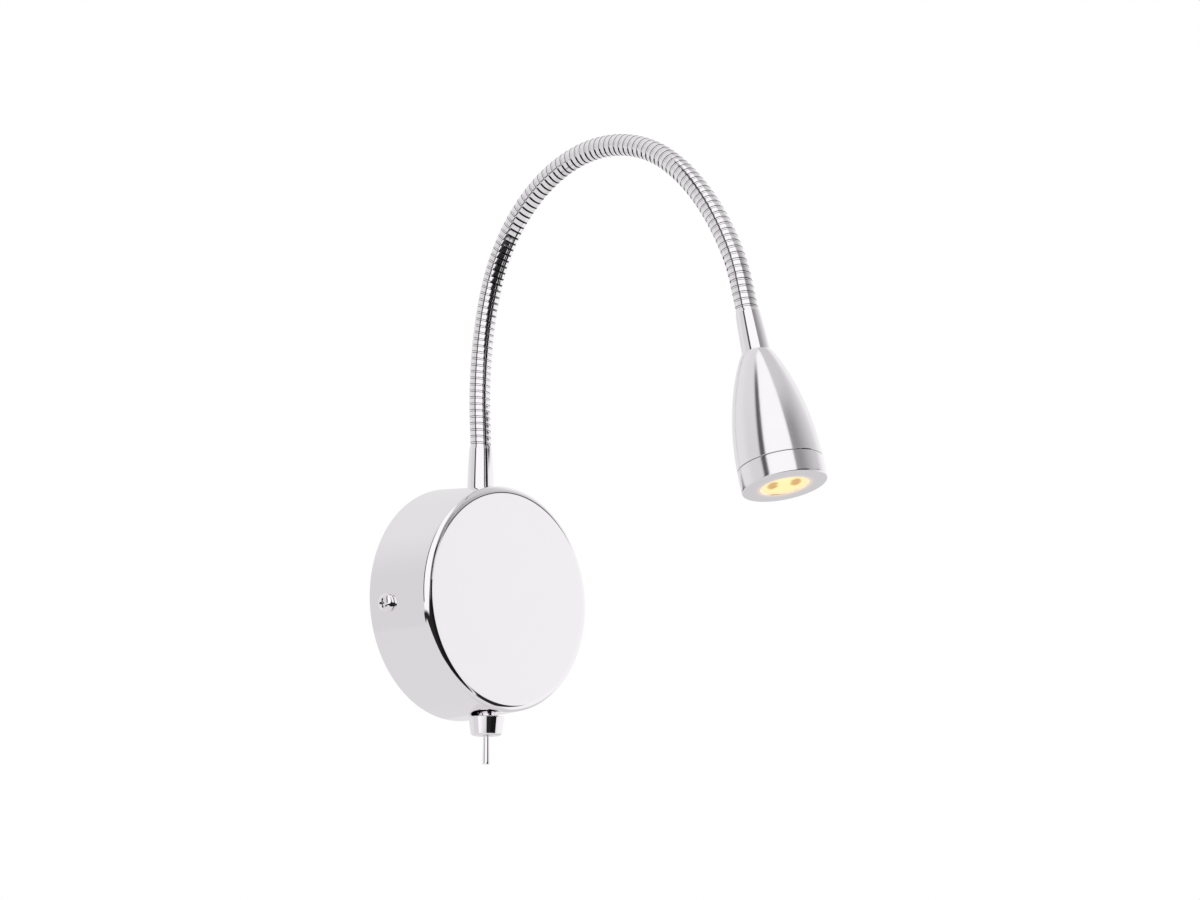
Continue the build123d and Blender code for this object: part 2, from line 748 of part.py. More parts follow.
def make_switch_body():
    """The switch's moulded case, with the room in which the lever's inner arm swings."""
    half_x = switch_body_width / 2
    half_y = switch_body_depth / 2
    body = block((-half_x, switch_y - half_y, body_low_z), (half_x, switch_y + half_y, body_top_z))
    body = fillet(body.edges().filter_by(Axis.Z), 0.8)
    sweep_x = lever_arm_length * tan(radians(lever_swing)) + lever_arm_radius + 1.0
    body -= block((-sweep_x, switch_y - 1.8, body_low_z - 1), (sweep_x, switch_y + 1.8, cavity_top_z))
    return body


def make_bushing():
    """The threaded bushing: a bore for the lever's ball that flares to its mouth."""
    tube = turned((bushing_bore, lever_pivot_z - 1), (bushing_mouth, bushing_end_z),
                  (bushing_radius, bushing_end_z), (bushing_radius, body_low_z - gap),
                  (bushing_bore, body_low_z - gap))
    tube = Pos(0, switch_y, 0) * tube
    return tube - pin_bar(pivot_pin_radius + gap / 2, bushing_radius + 1)


def pin_bar(radius, half_length):
    """A bar across the lever's pivot, square to its swing."""
    return Pos(0, switch_y, lever_pivot_z) * Rot(90, 0, 0) * Cylinder(radius, half_length * 2)


def make_pivot_pin():
    """The lever's hinge pin, held in the bushing's wall."""
    return pin_bar(pivot_pin_radius, bushing_radius - 0.2)


def make_lever():
    """The lever: a tapered bat with a flat end, the ball it turns on and its inner arm."""
    ball = Pos(0, 0, lever_pivot_z) * Sphere(lever_ball_radius)
    bat = turned((0, lever_pivot_z), (lever_root_radius, lever_pivot_z), (lever_root_radius, bushing_end_z),
                 (lever_tip_radius, lever_tip_z + 0.25), (lever_tip_radius - 0.2, lever_tip_z),
                 (0, lever_tip_z))
    arm = rod(lever_arm_radius, lever_pivot_z, lever_pivot_z + lever_arm_length)
    whole = Pos(0, switch_y, 0) * (ball + bat + arm)
    return whole - pin_bar(pivot_pin_radius + gap, bushing_radius)


def make_dress_nut():
    """The round chrome nut on the bushing, its sides drawing in to a rounded foot."""
    low = dress_nut_low_z
    knee = low + dress_nut_height * 0.35
    knee_radius = dress_nut_radius * 0.93
    side = ThreePointArc((knee_radius, knee), (dress_nut_foot_radius * 1.19, low + dress_nut_height * 0.09),
                         (dress_nut_foot_radius, low))
    rim = dress_nut_radius - 0.3
    rim_low = dress_nut_top_z - 0.3
    body = turned_edges(Line((0, low), (0, dress_nut_top_z)),
                        Line((0, dress_nut_top_z), (rim, dress_nut_top_z)),
                        Line((rim, dress_nut_top_z), (dress_nut_radius, rim_low)),
                        Line((dress_nut_radius, rim_low), (knee_radius, knee)), side,
                        Line((dress_nut_foot_radius, low), (0, low)))
    body -= rod(bushing_radius + gap, bushing_end_z - gap, dress_nut_top_z + 1)
    body -= rod(bushing_mouth + gap, low - 1, dress_nut_top_z)
    return Pos(0, switch_y, 0) * body


def make_inner_nut():
    """The thin nut on the bushing behind the cover's wall."""
    high = inner_nut_low_z + inner_nut_thickness
    nut = hex_nut(inner_nut_width, inner_nut_low_z, high, bushing_radius + gap)
    return Pos(0, switch_y, 0) * nut


def make_lugs():
    """The three solder lugs on the switch's back."""
    lugs = []
    for place in (-1, 0, 1):
        x = place * lug_spacing
        low = (x - lug_thickness / 2, switch_y - lug_width / 2, body_top_z + gap)
        lugs.append(block(low, (low[0] + lug_thickness, low[1] + lug_width, low[2] + lug_length)))
    return Compound(children=lugs)


# ---------------------------------------------------------------- leads in the cover
lug_end_z = body_top_z + lug_length + gap * 2
block_lead_y = -bracket_thickness - sleeve_depth
block_low_z = block_z - block_length / 2
block_top_z = block_z + block_length / 2
driver_lead_y = switch_y - 1


def make_live_lead():
    """The live wire from the terminal block to the switch."""
    x = sleeve_xs[0]
    end = -lug_spacing
    rise = lug_end_z + 9
    return lead([(x, block_lead_y, block_low_z + 2), (x, block_lead_y, block_low_z - 7),
                 ((x + end) / 2, (block_lead_y + switch_y) / 2, block_low_z - 9),
                 (end, switch_y, rise), (end, switch_y, lug_end_z)], [3.0, 3.0, 2.2])


def make_switched_lead():
    """The wire from the switch to the driver."""
    x = input_lead_xs[1]
    end = driver_bottom_z + driver_wall + 1
    return lead([(lug_spacing, switch_y, lug_end_z), (lug_spacing, switch_y, lug_end_z + 8),
                 (x, driver_lead_y, driver_bottom_z - 10), (x, driver_lead_y, end)], [6.0, 6.0])


def make_neutral_lead():
    """The neutral wire from the terminal block to the driver."""
    x = input_lead_xs[0]
    turn = (block_top_z + driver_bottom_z) / 2
    end = driver_bottom_z + driver_wall + 1
    return lead([(x, block_lead_y, block_top_z - 2), (x, block_lead_y, turn),
                 (x, driver_lead_y, turn), (x, driver_lead_y, end)], [2.5, 2.5])


def make_neck_leads():
    """The two wires from the driver up into the base ferrule."""
    low = driver_top_z - driver_wall - 1
    high = base_mouth_z - ferrule_socket_depth - 1
    return Compound(children=[rod(lead_radius, low, high, x=x, y=neck_axis_y) for x in output_lead_xs])


# ---------------------------------------------------------------- all parts
parts = {
    "cover": make_cover(),
    "wall_bracket": make_bracket(),
    "side_screws": make_side_screws(),
    "earth_washer": make_earth_washer(),
    "earth_screw": make_earth_screw(),
    "terminal_housing": make_block_housing(),
    "terminal_sleeves": make_block_sleeves(),
    "terminal_clamp_screws": make_clamp_screws(),
    "terminal_fixing_screw": make_block_screw(),
    "driver_pad": make_driver_pad(),
    "driver_case": make_driver_case(),
    "driver_lid": make_driver_lid(),
    "driver_board": make_driver_board(),
    "driver_transformer": make_transformer(),
    "driver_capacitors": make_capacitors(),
    "base_ferrule": make_base_ferrule(),
    "tooth_washer": make_tooth_washer(),
    "ferrule_lock_nut": make_lock_nut(),
    "head_ferrule": make_head_ferrule(),
    "head_shell": make_shell(),
    "bezel_ring": make_bezel(),
    "heat_spreader": make_spreader(),
    "led_board": make_led_board(),
    "led_emitter": make_emitter(),
    "lens": make_lens(),
    "lens_holder": make_lens_holder(),
    "head_leads": make_head_leads(),
    "switch_body": make_switch_body(),
    "switch_bushing": make_bushing(),
    "switch_pivot_pin": make_pivot_pin(),
    "switch_lever": make_lever(),
    "switch_dress_nut": make_dress_nut(),
    "switch_inner_nut": make_inner_nut(),
    "switch_lugs": make_lugs(),
    "live_lead": make_live_lead(),
    "switched_lead": make_switched_lead(),
    "neutral_lead": make_neutral_lead(),
    "neck_leads": make_neck_leads(),
}
for number in range(joint_count + 1):
    parts[f"neck_link_{number:02d}"] = make_link(number)

os.makedirs("parts", exist_ok=True)
for name, shape in parts.items():
    export_step(shape, f"parts/{name}.step")

# the joints' places and headings, for whoever writes down the motion
for number, plane in enumerate(links):
    start_here = f"{plane.origin.Y:.3f} {plane.origin.Z:.3f}"
    heading_here = degrees(atan2(-plane.z_dir.Y, plane.z_dir.Z))
    print(f"link {number:02d} starts at {start_here} heading {heading_here:.3f}")
print(f"head starts at {head_start.Y:.3f} {head_start.Z:.3f}, its face at {face:.2f} along the axis")
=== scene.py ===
"""Bedside wall reading lamp: the finished look of its pieces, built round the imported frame."""
import json
from math import atan2, cos, pi, radians, sin

import bmesh
import bpy
import numpy as np
from mathutils import Matrix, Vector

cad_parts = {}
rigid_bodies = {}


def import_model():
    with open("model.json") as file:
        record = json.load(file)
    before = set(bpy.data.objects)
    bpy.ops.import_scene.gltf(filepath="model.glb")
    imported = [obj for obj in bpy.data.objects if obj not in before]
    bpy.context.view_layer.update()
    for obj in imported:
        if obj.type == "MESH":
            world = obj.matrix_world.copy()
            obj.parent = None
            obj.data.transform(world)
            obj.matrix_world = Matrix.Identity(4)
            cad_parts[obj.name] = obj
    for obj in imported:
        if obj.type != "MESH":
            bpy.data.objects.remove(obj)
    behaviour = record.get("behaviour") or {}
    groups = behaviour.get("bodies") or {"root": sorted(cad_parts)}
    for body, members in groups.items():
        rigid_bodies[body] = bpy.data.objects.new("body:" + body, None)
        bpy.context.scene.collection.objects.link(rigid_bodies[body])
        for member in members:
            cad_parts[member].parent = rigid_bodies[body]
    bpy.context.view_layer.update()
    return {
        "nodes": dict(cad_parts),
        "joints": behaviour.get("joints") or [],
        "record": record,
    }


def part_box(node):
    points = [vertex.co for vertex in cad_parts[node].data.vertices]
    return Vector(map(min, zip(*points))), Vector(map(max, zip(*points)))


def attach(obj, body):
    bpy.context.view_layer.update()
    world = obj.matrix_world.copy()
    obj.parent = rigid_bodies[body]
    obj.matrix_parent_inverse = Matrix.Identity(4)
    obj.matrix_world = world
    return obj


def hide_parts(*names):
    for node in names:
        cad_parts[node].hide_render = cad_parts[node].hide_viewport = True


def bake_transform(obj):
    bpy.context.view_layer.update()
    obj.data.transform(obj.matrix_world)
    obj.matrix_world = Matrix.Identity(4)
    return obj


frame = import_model()

bl_info = {
    "name": "Wall reading lamp",
    "version": (1, 0, 0),
    "blender": (4, 5, 0),
    "location": "View3D > Sidebar > Lamp",
    "description": "Chrome cover, gooseneck, spot head and toggle switch of a wall reading lamp",
    "category": "Object",
}

MM = 0.001
ROUND = 2 * pi


# ---------------------------------------------------------------- where things are, from the frame
def neck_joints():
    """The neck's joints from the wall end on."""
    return [joint for joint in frame["joints"] if joint["name"].startswith("neck_")]


def joint_places():
    """The neck's pivots as (y, z) rows; the neck lies in the plane x = 0."""
    return np.array([joint["pos_m"][1:] for joint in neck_joints()], float)


def joint_bodies():
    """The neck's bodies, one more than its joints."""
    chain = neck_joints()
    return [chain[0]["parent"]] + [joint["child"] for joint in chain]


PIVOTS = joint_places()
BODIES = joint_bodies()
LINK = float(np.linalg.norm(PIVOTS[2] - PIVOTS[1]))     # from pivot to pivot
BASE_LEAN = radians(-3.0)                               # the neck's first piece, out from upright
HEAD_LEAN = radians(166.0)                              # its last piece and the head
SHARP = 28.0                                            # degrees: a sharper edge stays an edge


class LampSizes(bpy.types.PropertyGroup):
    """Sizes of the pieces, in metres."""

    cover_edge: bpy.props.FloatProperty(
        name="Cover edge", description="Radius between the cover's side and front",
        default=3.0 * MM, unit="LENGTH", precision=5)
    cover_wall: bpy.props.FloatProperty(
        name="Cover wall", description="Sheet thickness of the cover",
        default=0.8 * MM, unit="LENGTH", precision=5)
    rim_growth: bpy.props.FloatProperty(
        name="Rim growth", description="How much wider the cover is at the wall than at its front",
        default=2.1 * MM, unit="LENGTH", precision=5)
    ferrule_length: bpy.props.FloatProperty(
        name="Ferrule length", description="From a ferrule's seat to its mouth",
        default=16.0 * MM, unit="LENGTH", precision=5)
    neck_radius: bpy.props.FloatProperty(
        name="Neck radius", description="Outside of the gooseneck's bands",
        default=4.0 * MM, unit="LENGTH", precision=5)
    neck_pitch: bpy.props.FloatProperty(
        name="Neck pitch", description="From band to band along the gooseneck",
        default=2.53 * MM, unit="LENGTH", precision=5)
    stub_turns: bpy.props.FloatProperty(
        name="Stub turns", description="Turns of the neck between a ferrule and the nearest bend",
        default=4.5)
    shell_length: bpy.props.FloatProperty(
        name="Shell length", description="Length of the head's shell along its axis",
        default=42.0 * MM, unit="LENGTH", precision=5)
    shell_radius: bpy.props.FloatProperty(
        name="Shell radius", description="Outside radius of the head at its mouth",
        default=15.0 * MM, unit="LENGTH", precision=5)
    bezel_height: bpy.props.FloatProperty(
        name="Bezel height", description="Height of the ring at the head's mouth",
        default=7.65 * MM, unit="LENGTH", precision=5)
    opening_radius: bpy.props.FloatProperty(
        name="Opening radius", description="Radius of the opening that the light leaves by",
        default=8.3 * MM, unit="LENGTH", precision=5)
    ring_lip: bpy.props.FloatProperty(
        name="Ring lip", description="Thickness of the ring's lip in front of the lens",
        default=0.7 * MM, unit="LENGTH", precision=5)


class LampFinishes(bpy.types.PropertyGroup):
    """Colours of the finishes, and of the painted light on the lens and the ring."""

    chrome: bpy.props.FloatVectorProperty(
        name="Chrome", description="Tint of the chrome plate", subtype="COLOR", size=3,
        default=(0.935, 0.91, 0.935), min=0, max=1)
    aluminium: bpy.props.FloatVectorProperty(
        name="Aluminium", description="Tint of the satin turned head", subtype="COLOR", size=3,
        default=(0.935, 0.91, 0.935), min=0, max=1)
    glow: bpy.props.FloatVectorProperty(
        name="Glow", description="Colour of the lit lens in its middle", subtype="COLOR", size=3,
        default=(0.96, 0.86, 0.42), min=0, max=1)
    # painted reflection: the colour of the darker patches painted on the lens's sides
    painted_reflection_tone: bpy.props.FloatVectorProperty(
        name="Ember", description="Colour of the lit lens where it is darker", subtype="COLOR", size=3,
        default=(0.66, 0.40, 0.15), min=0, max=1)
    # painted highlight: the pale warm light painted on the lens's rim and in the ring's opening
    painted_rim_light: bpy.props.FloatVectorProperty(
        name="Cream", description="Colour of the lit lens at its rim", subtype="COLOR", size=3,
        default=(0.97, 0.80, 0.50), min=0, max=1)
    # painted glow: the warm light painted on the ring's face close to its opening
    painted_ring_glow: bpy.props.FloatVectorProperty(
        name="Blush", description="The warm light on the ring close to its opening",
        subtype="COLOR", size=3, default=(0.30, 0.14, 0.02), min=0, max=1)


# ---------------------------------------------------------------- surfaces
def along(lean):
    """Unit directions in the plane x = 0 that lean out from upright, towards -y, by the angles given."""
    lean = np.asarray(lean, float)
    return np.stack([np.zeros_like(lean), -np.sin(lean), np.cos(lean)], -1)


def place_on(origin, axis, across=(1.0, 0.0, 0.0)):
    """A 4x4 place whose z is the axis and whose x is the direction across it."""
    z = np.array(axis, float) / np.linalg.norm(axis)
    x = np.array(across, float)
    x = x - z * (x @ z)
    x = x / np.linalg.norm(x)
    place = np.eye(4)
    place[:3, 0] = x
    place[:3, 1] = np.cross(z, x)
    place[:3, 2] = z
    place[:3, 3] = origin
    return place


def placed(points, place):
    """Points carried from a place's own axes into the lamp's frame."""
    return points @ place[:3, :3].T + place[:3, 3]


def grid_faces(rows, columns, wrap_rows=False, wrap_columns=False):
    """The quads of a grid and the grid coordinates of their corners.

    Point (i, j) has the number i * columns + j, and a wrapped side joins its last line to its first.
    """
    i = np.arange(rows if wrap_rows else rows - 1)
    j = np.arange(columns if wrap_columns else columns - 1)
    i, j = np.meshgrid(i, j, indexing="ij")
    corners_i = np.stack([i, i + 1, i + 1, i], -1).reshape(-1, 4)
    corners_j = np.stack([j, j, j + 1, j + 1], -1).reshape(-1, 4)
    faces = (corners_i % rows) * columns + corners_j % columns
    return faces, np.stack([corners_i, corners_j], -1)


def rounded(corners, radii, steps=6):
    """A closed outline with its corners rounded.

    Each corner of half angle h is replaced by an arc of its radius r about the point r / sin(h) in from
    it along its bisector; the arc starts and ends r / tan(h) from the corner, where it meets the sides.
    """
    points = np.array(corners, float)
    radii = np.array(radii, float)[:, None]
    back = np.roll(points, 1, axis=0) - points
    ahead = np.roll(points, -1, axis=0) - points
    back = back / np.linalg.norm(back, axis=1, keepdims=True)
    ahead = ahead / np.linalg.norm(ahead, axis=1, keepdims=True)
    half = np.arccos(np.clip((back * ahead).sum(1, keepdims=True), -1, 1)) / 2
    bisector = back + ahead
    bisector = bisector / np.maximum(np.linalg.norm(bisector, axis=1, keepdims=True), 1e-9)
    centre = points + bisector * radii / np.sin(half)
    first = points + back * radii / np.tan(half) - centre
    last = points + ahead * radii / np.tan(half) - centre
    turn = pi - 2 * half
    share = np.linspace(0, 1, steps)[None, :]
    weight_first = np.sin((1 - share) * turn) / np.sin(turn)
    weight_last = np.sin(share * turn) / np.sin(turn)
    arcs = (centre[:, None, :] + weight_first[:, :, None] * first[:, None, :]
            + weight_last[:, :, None] * last[:, None, :])
    outline = arcs.reshape(-1, 2)
    step = np.linalg.norm(outline - np.roll(outline, 1, axis=0), axis=1)
    return outline[step > 1e-7]


def between(outline, longest):
    """The same closed outline with points added along its sides, so that none is longer than given."""
    ahead = np.roll(outline, -1, axis=0)
    counts = np.maximum(1, np.ceil(np.linalg.norm(ahead - outline, axis=1) / longest).astype(int))
    starts = np.repeat(outline, counts, axis=0)
    ends = np.repeat(ahead, counts, axis=0)
    run = np.arange(counts.sum()) - np.repeat(np.cumsum(counts) - counts, counts)
    share = (run / np.repeat(counts, counts))[:, None]
    return starts + (ends - starts) * share


def turned_surface(outline, place, segments=128):
    """A closed outline of (radius, height) carried round an axis.

    A point of the outline goes to (radius cos a, radius sin a, height) for each angle a of a full turn.
    """
    angle = np.arange(segments) * ROUND / segments
    radius = outline[:, 0]
    grid = np.stack([np.cos(angle)[:, None] * radius, np.sin(angle)[:, None] * radius,
                     np.broadcast_to(outline[:, 1], (segments, len(outline)))], -1)
    faces, uv = grid_faces(segments, len(outline), True, True)
    ahead = np.roll(outline, -1, axis=0)
    run = np.concatenate([[0], np.cumsum(np.linalg.norm(ahead - outline, axis=1))])
    wide = outline[:, 0].max() * ROUND
    corners = np.stack([uv[..., 0] * (wide / segments), run[uv[..., 1]]], -1)
    return placed(grid.reshape(-1, 3), place), faces, corners


def make_piece(name, surface, finish, sharp=SHARP, extra_faces=(), levels=None):
    """An object from a surface: its doubles merged, its faces turned outwards and its edges kept sharp.

    A surface is its points, its quads and their corners' places on the UV map; extra faces have none.
    levels, where given, is one number for each point, kept as the attribute that the finish reads.
    """
    points, faces, corners = surface
    mesh = bpy.data.meshes.new(name)
    mesh.from_pydata(points.tolist(), [], faces.tolist() + list(extra_faces))
    layer = mesh.uv_layers.new(name="UVMap")
    corners = corners.reshape(-1, 2)
    flat = np.zeros((len(mesh.loops), 2), np.float32)
    flat[:len(corners)] = corners
    layer.data.foreach_set("uv", flat.ravel())
    if levels is not None:
        attribute = mesh.attributes.new("level", "FLOAT", "POINT")
        attribute.data.foreach_set("value", np.asarray(levels, np.float32))
    work = bmesh.new()
    work.from_mesh(mesh)
    bmesh.ops.remove_doubles(work, verts=work.verts, dist=1e-7)
    bmesh.ops.recalc_face_normals(work, faces=work.faces)
    work.to_mesh(mesh)
    work.free()
    finish_shading(mesh, sharp)
    mesh.materials.append(finish)
    piece = bpy.data.objects.new(name, mesh)
    bpy.context.scene.collection.objects.link(piece)
    return piece


def finish_shading(mesh, sharp):
    """Smooth faces, with edges sharper than the angle in degrees kept as edges."""
    mesh.shade_smooth()
    mesh.set_sharp_from_angle(angle=radians(sharp))


def cut_from(piece, cutters, sharp=SHARP):
    """Takes cutters away from a piece, each a closed surface, and applies the result to its mesh."""
    for number, surface in enumerate(cutters):
        cutter = make_piece(f"{piece.name}_cutter_{number}", surface, piece.data.materials[0])
        step = piece.modifiers.new(f"cut_{number}", "BOOLEAN")
        step.operation = "DIFFERENCE"
        step.solver = "EXACT"
        step.object = cutter
    bpy.context.view_layer.update()
    shaped = piece.evaluated_get(bpy.context.evaluated_depsgraph_get())
    mesh = bpy.data.meshes.new_from_object(shaped)
    cutting = [step.object for step in piece.modifiers]
    piece.modifiers.clear()
    for cutter in cutting:
        bpy.data.objects.remove(cutter)
    mesh.name = piece.name
    piece.data = mesh
    finish_shading(mesh, sharp)


def rod_surface(place, radius, low, high, segments=32):
    """A closed cylinder on a place's z axis between two heights."""
    outline = np.array([(0, low), (radius, low), (radius, high), (0, high)], float)
    return turned_surface(outline, place, segments)


# ---------------------------------------------------------------- shader maths
class Socket:
    """An output of a shader node: + - * / on it, with a number or another output, add Math nodes."""

    def __init__(self, nodes, output):
        self.nodes = nodes
        self.output = output

    def maths(self, operation, first, second):
        return self.nodes.add("ShaderNodeMath", {"operation": operation}, {0: first, 1: second})

    def __add__(self, other):
        return self.maths("ADD", self, other)

    __radd__ = __add__

    def __sub__(self, other):
        return self.maths("SUBTRACT", self, other)

    def __rsub__(self, other):
        return self.maths("SUBTRACT", other, self)

    def __mul__(self, other):
        return self.maths("MULTIPLY", self, other)

    __rmul__ = __mul__

    def __truediv__(self, other):
        return self.maths("DIVIDE", self, other)


class Nodes:
    """A node tree being written; add is the one way in which it gets nodes."""

    def __init__(self, tree):
        self.tree = tree
        tree.nodes.clear()

    def add(self, kind, settings=None, values=None, output=0):
        """Adds a node of a type, sets its settings, then the values or links of its sockets."""
        node = self.tree.nodes.new(kind)
        for key, value in (settings or {}).items():
            setattr(node, key, value)
        self.fill(node, values or {})
        return Socket(self, node.outputs[output]) if node.outputs else None

    def fill(self, node, values):
        """Sets or links a node's sockets."""
        for key, value in values.items():
            if isinstance(value, Socket):
                self.tree.links.new(value.output, node.inputs[key])
            else:
                node.inputs[key].default_value = value

    def beside(self, socket, output):
        """Another output of the node that a socket belongs to."""
        return Socket(self, socket.output.node.outputs[output])

    def above(self, value, start, end):
        """0 where value is at or under start, 1 at or over end, and smooth between."""
        return self.add("ShaderNodeMapRange", {"interpolation_type": "SMOOTHSTEP"},
                        {"Value": value, "From Min": start, "From Max": end})

    def ramp(self, value, start, end, first, last):
        """The first number where value is at or under start, the last at or over end, and even between."""
        return self.add("ShaderNodeMapRange", {}, {"Value": value, "From Min": start, "From Max": end,
                                                   "To Min": first, "To Max": last})

    def mix(self, share, first, second):
        """The first colour where share is 0, the second where it is 1."""
        return self.add("ShaderNodeMix", {"data_type": "RGBA"},
                        {0: share, 6: first, 7: second}, output=2)

    def noise(self, where, scale, detail=2.0, roughness=0.5):
        """Soft noise from 0 to 1 at a place."""
        return self.add("ShaderNodeTexNoise", {}, {"Vector": where, "Scale": scale, "Detail": detail,
                                                   "Roughness": roughness})


class Finish(Nodes):
    """A material being written: its Principled node takes what varies, and constants."""

    def __init__(self, name):
        self.material = bpy.data.materials.new(name)
        self.material.use_nodes = True
        super().__init__(self.material.node_tree)
        self.surface = self.add("ShaderNodeBsdfPrincipled")
        self.add("ShaderNodeOutputMaterial", {}, {"Surface": self.surface})

    def set(self, **values):
        """Sets or links the Principled node's sockets; a name's _ stands for a space."""
        self.fill(self.surface.output.node, {key.replace("_", " "): value for key, value in values.items()})

    def place(self):
        """Where a point is, in metres."""
        return self.add("ShaderNodeTexCoord", output="Object")

    def surface_place(self):
        """Where a point is on its own surface: round it and along it, in metres."""
        return self.add("ShaderNodeUVMap", {"uv_map": "UVMap"})

    def stretched(self, where, scale):
        """A place with its axes scaled."""
        return self.add("ShaderNodeMapping", {}, {"Vector": where, "Scale": scale})

    def level(self):
        """The piece's own level attribute."""
        return self.add("ShaderNodeAttribute", {"attribute_name": "level"}, output="Fac")

    def bump(self, height, strength, distance):
        """A normal raised by a height."""
        return self.add("ShaderNodeBump", {}, {"Strength": strength, "Distance": distance,
                                               "Height": height})


def rgba(colour, gain=1.0):
    """A colour as four numbers, brightened or darkened by a gain."""
    return tuple(part * gain for part in colour[:3]) + (1.0,)


# ---------------------------------------------------------------- finishes
def chrome_plate(name="chrome_plate"):
    """Bright chrome: a mirror with a breath of haze and the faintest waviness of plated metal."""
    tint = bpy.context.scene.lamp_finishes.chrome
    made = Finish(name)
    where = made.place()
    haze = made.noise(where, 60.0, 4.0)
    fine = made.noise(where, 900.0, 2.0)
    wave = made.noise(where, 220.0, 1.0)
    made.set(Base_Color=made.mix(haze, rgba(tint, 0.985), rgba(tint)), Metallic=1.0,
             Roughness=0.025 + 0.03 * haze + 0.015 * fine,
             Normal=made.bump(wave, 0.06, 0.00002))
    return made.material


def hose_chrome():
    """The gooseneck's chrome: bright on its bands and strip, with painted shade down in its gaps, where it is
    near black and rough.
    """
    tint = bpy.context.scene.lamp_finishes.chrome
    made = Finish("hose_chrome")
    # painted shade: the base colour goes near black where the level is low, down in the gaps and on a squeezed
    # strip
    unshaded_crest = made.above(made.level(), 0.25, 0.85)
    where = made.place()
    haze = made.noise(where, 140.0, 3.0)
    scuff = made.noise(where, 700.0, 3.0)
    made.set(Base_Color=made.mix(unshaded_crest, rgba((0.03, 0.03, 0.035)), rgba(tint)), Metallic=1.0,
             Roughness=0.35 - 0.29 * unshaded_crest + 0.05 * haze + 0.02 * scuff,
             Normal=made.bump(haze, 0.08, 0.00004))
    return made.material


def turned_aluminium(name):
    """Turned aluminium: fine rings round the axis, streaks that follow them and a soft sheen."""
    tint = bpy.context.scene.lamp_finishes.aluminium
    made = Finish(name)
    where = made.surface_place()
    lines = made.noise(made.stretched(where, (30.0, 9000.0, 1.0)), 1.0, 3.0, 0.65)
    streaks = made.noise(made.stretched(where, (12.0, 1400.0, 1.0)), 1.0, 2.0)
    blotch = made.noise(made.place(), 45.0, 2.0)
    metal = made.mix(streaks, rgba(tint, 0.96), rgba(tint))
    made.set(Base_Color=metal, Metallic=1.0,
             Roughness=0.10 + 0.05 * streaks + 0.03 * blotch,
             Normal=made.bump(lines, 0.10, 0.00003))
    return made, metal


def satin_aluminium():
    """The shell's turned aluminium."""
    made, _metal = turned_aluminium("satin_aluminium")
    return made.material


def ring_aluminium():
    """The ring's turned aluminium, with painted light where its level, as ring_levels gives it, is over 0: a
    warm painted glow on its face near the opening, and a painted highlight in the opening.
    """
    finishes = bpy.context.scene.lamp_finishes
    made, metal = turned_aluminium("satin_ring")
    level = made.level()
    # painted highlight: in the opening the base colour is near black and the emission paints a pale warm light
    bore = made.above(level, 1.2, 1.6)
    # painted glow: warm light painted on the face, fading out from the opening
    face = made.mix(made.above(level, 0.0, 1.0), (0, 0, 0, 1), rgba(finishes.painted_ring_glow))
    made.set(Base_Color=made.mix(bore, metal, (0.02, 0.02, 0.02, 1)),
             Emission_Color=made.mix(bore, face, rgba(finishes.painted_rim_light)), Emission_Strength=1.0)
    return made.material


# the lens's darker patches are painted reflections; this turn sets them to its sides as the camera sees them
LENS_TURN = radians(-45.9)                              # puts the lens's dark patches to its sides


def lit_lens():
    """The lit lens: its glow with painted reflections over it: a pale middle, two darker patches with fine
    rays at its sides, and a pale warm rim that is a painted highlight.

    The patches lie at half the opening's radius to both sides, and fade with the square of the share of
    the radius that lies sideways. The piece's UV map is its place across its axis, in opening radii.
    """
    finishes = bpy.context.scene.lamp_finishes
    made = Finish("lit_lens")
    place = made.surface_place()
    turned = made.add("ShaderNodeVectorRotate", {"rotation_type": "Z_AXIS"},
                      {"Vector": place, "Angle": LENS_TURN})
    parts = made.add("ShaderNodeSeparateXYZ", {}, {0: turned})
    side = made.beside(parts, 0)
    far = made.beside(parts, 1)
    radius = made.add("ShaderNodeVectorMath", {"operation": "LENGTH"}, {0: turned}, output="Value")
    angle = made.add("ShaderNodeMath", {"operation": "ARCTAN2"}, {0: far, 1: side})
    spokes = made.add("ShaderNodeCombineXYZ", {}, {0: 14.0 * angle, 1: 1.6 * radius})
    # painted reflection: fine rays and two darker patches to the sides, painted into the lens's glow and base
    # colour
    rays = made.noise(spokes, 1.0, 2.0)
    sideways = side * side / (radius * radius + 0.001)
    halfway = made.above(radius, 0.16, 0.44) * (1 - made.above(radius, 0.56, 0.86))
    reflection_patch = halfway * made.above(sideways, 0.25, 0.80)
    dark = made.above(reflection_patch * (0.30 + 1.4 * rays), 0.05, 1.0)
    # painted highlight: a pale warm rim painted round the lens's edge
    rim = made.above(radius, 0.78, 0.98)
    lit = made.mix(rim, made.mix(dark, rgba(finishes.glow), rgba(finishes.painted_reflection_tone)), rgba(finishes.painted_rim_light))
    made.set(Base_Color=made.mix(dark, rgba((0.05, 0.045, 0.03)), rgba((0.03, 0.02, 0.01))),
             Roughness=0.3, Specular_IOR_Level=0.05, Emission_Color=lit, Emission_Strength=1.0)
    return made.material


def moulded(name, colour, roughness):
    """Moulded plastic: a fine grain, with its shine uneven from place to place."""
    made = Finish(name)
    where = made.place()
    fine = made.noise(where, 1600.0, 2.0)
    broad = made.noise(where, 120.0, 3.0)
    made.set(Base_Color=made.mix(broad, rgba(colour, 0.94), rgba(colour)), Metallic=0.0,
             Roughness=roughness + 0.06 * broad, Normal=made.bump(fine, 0.15, 0.00004))
    return made.material


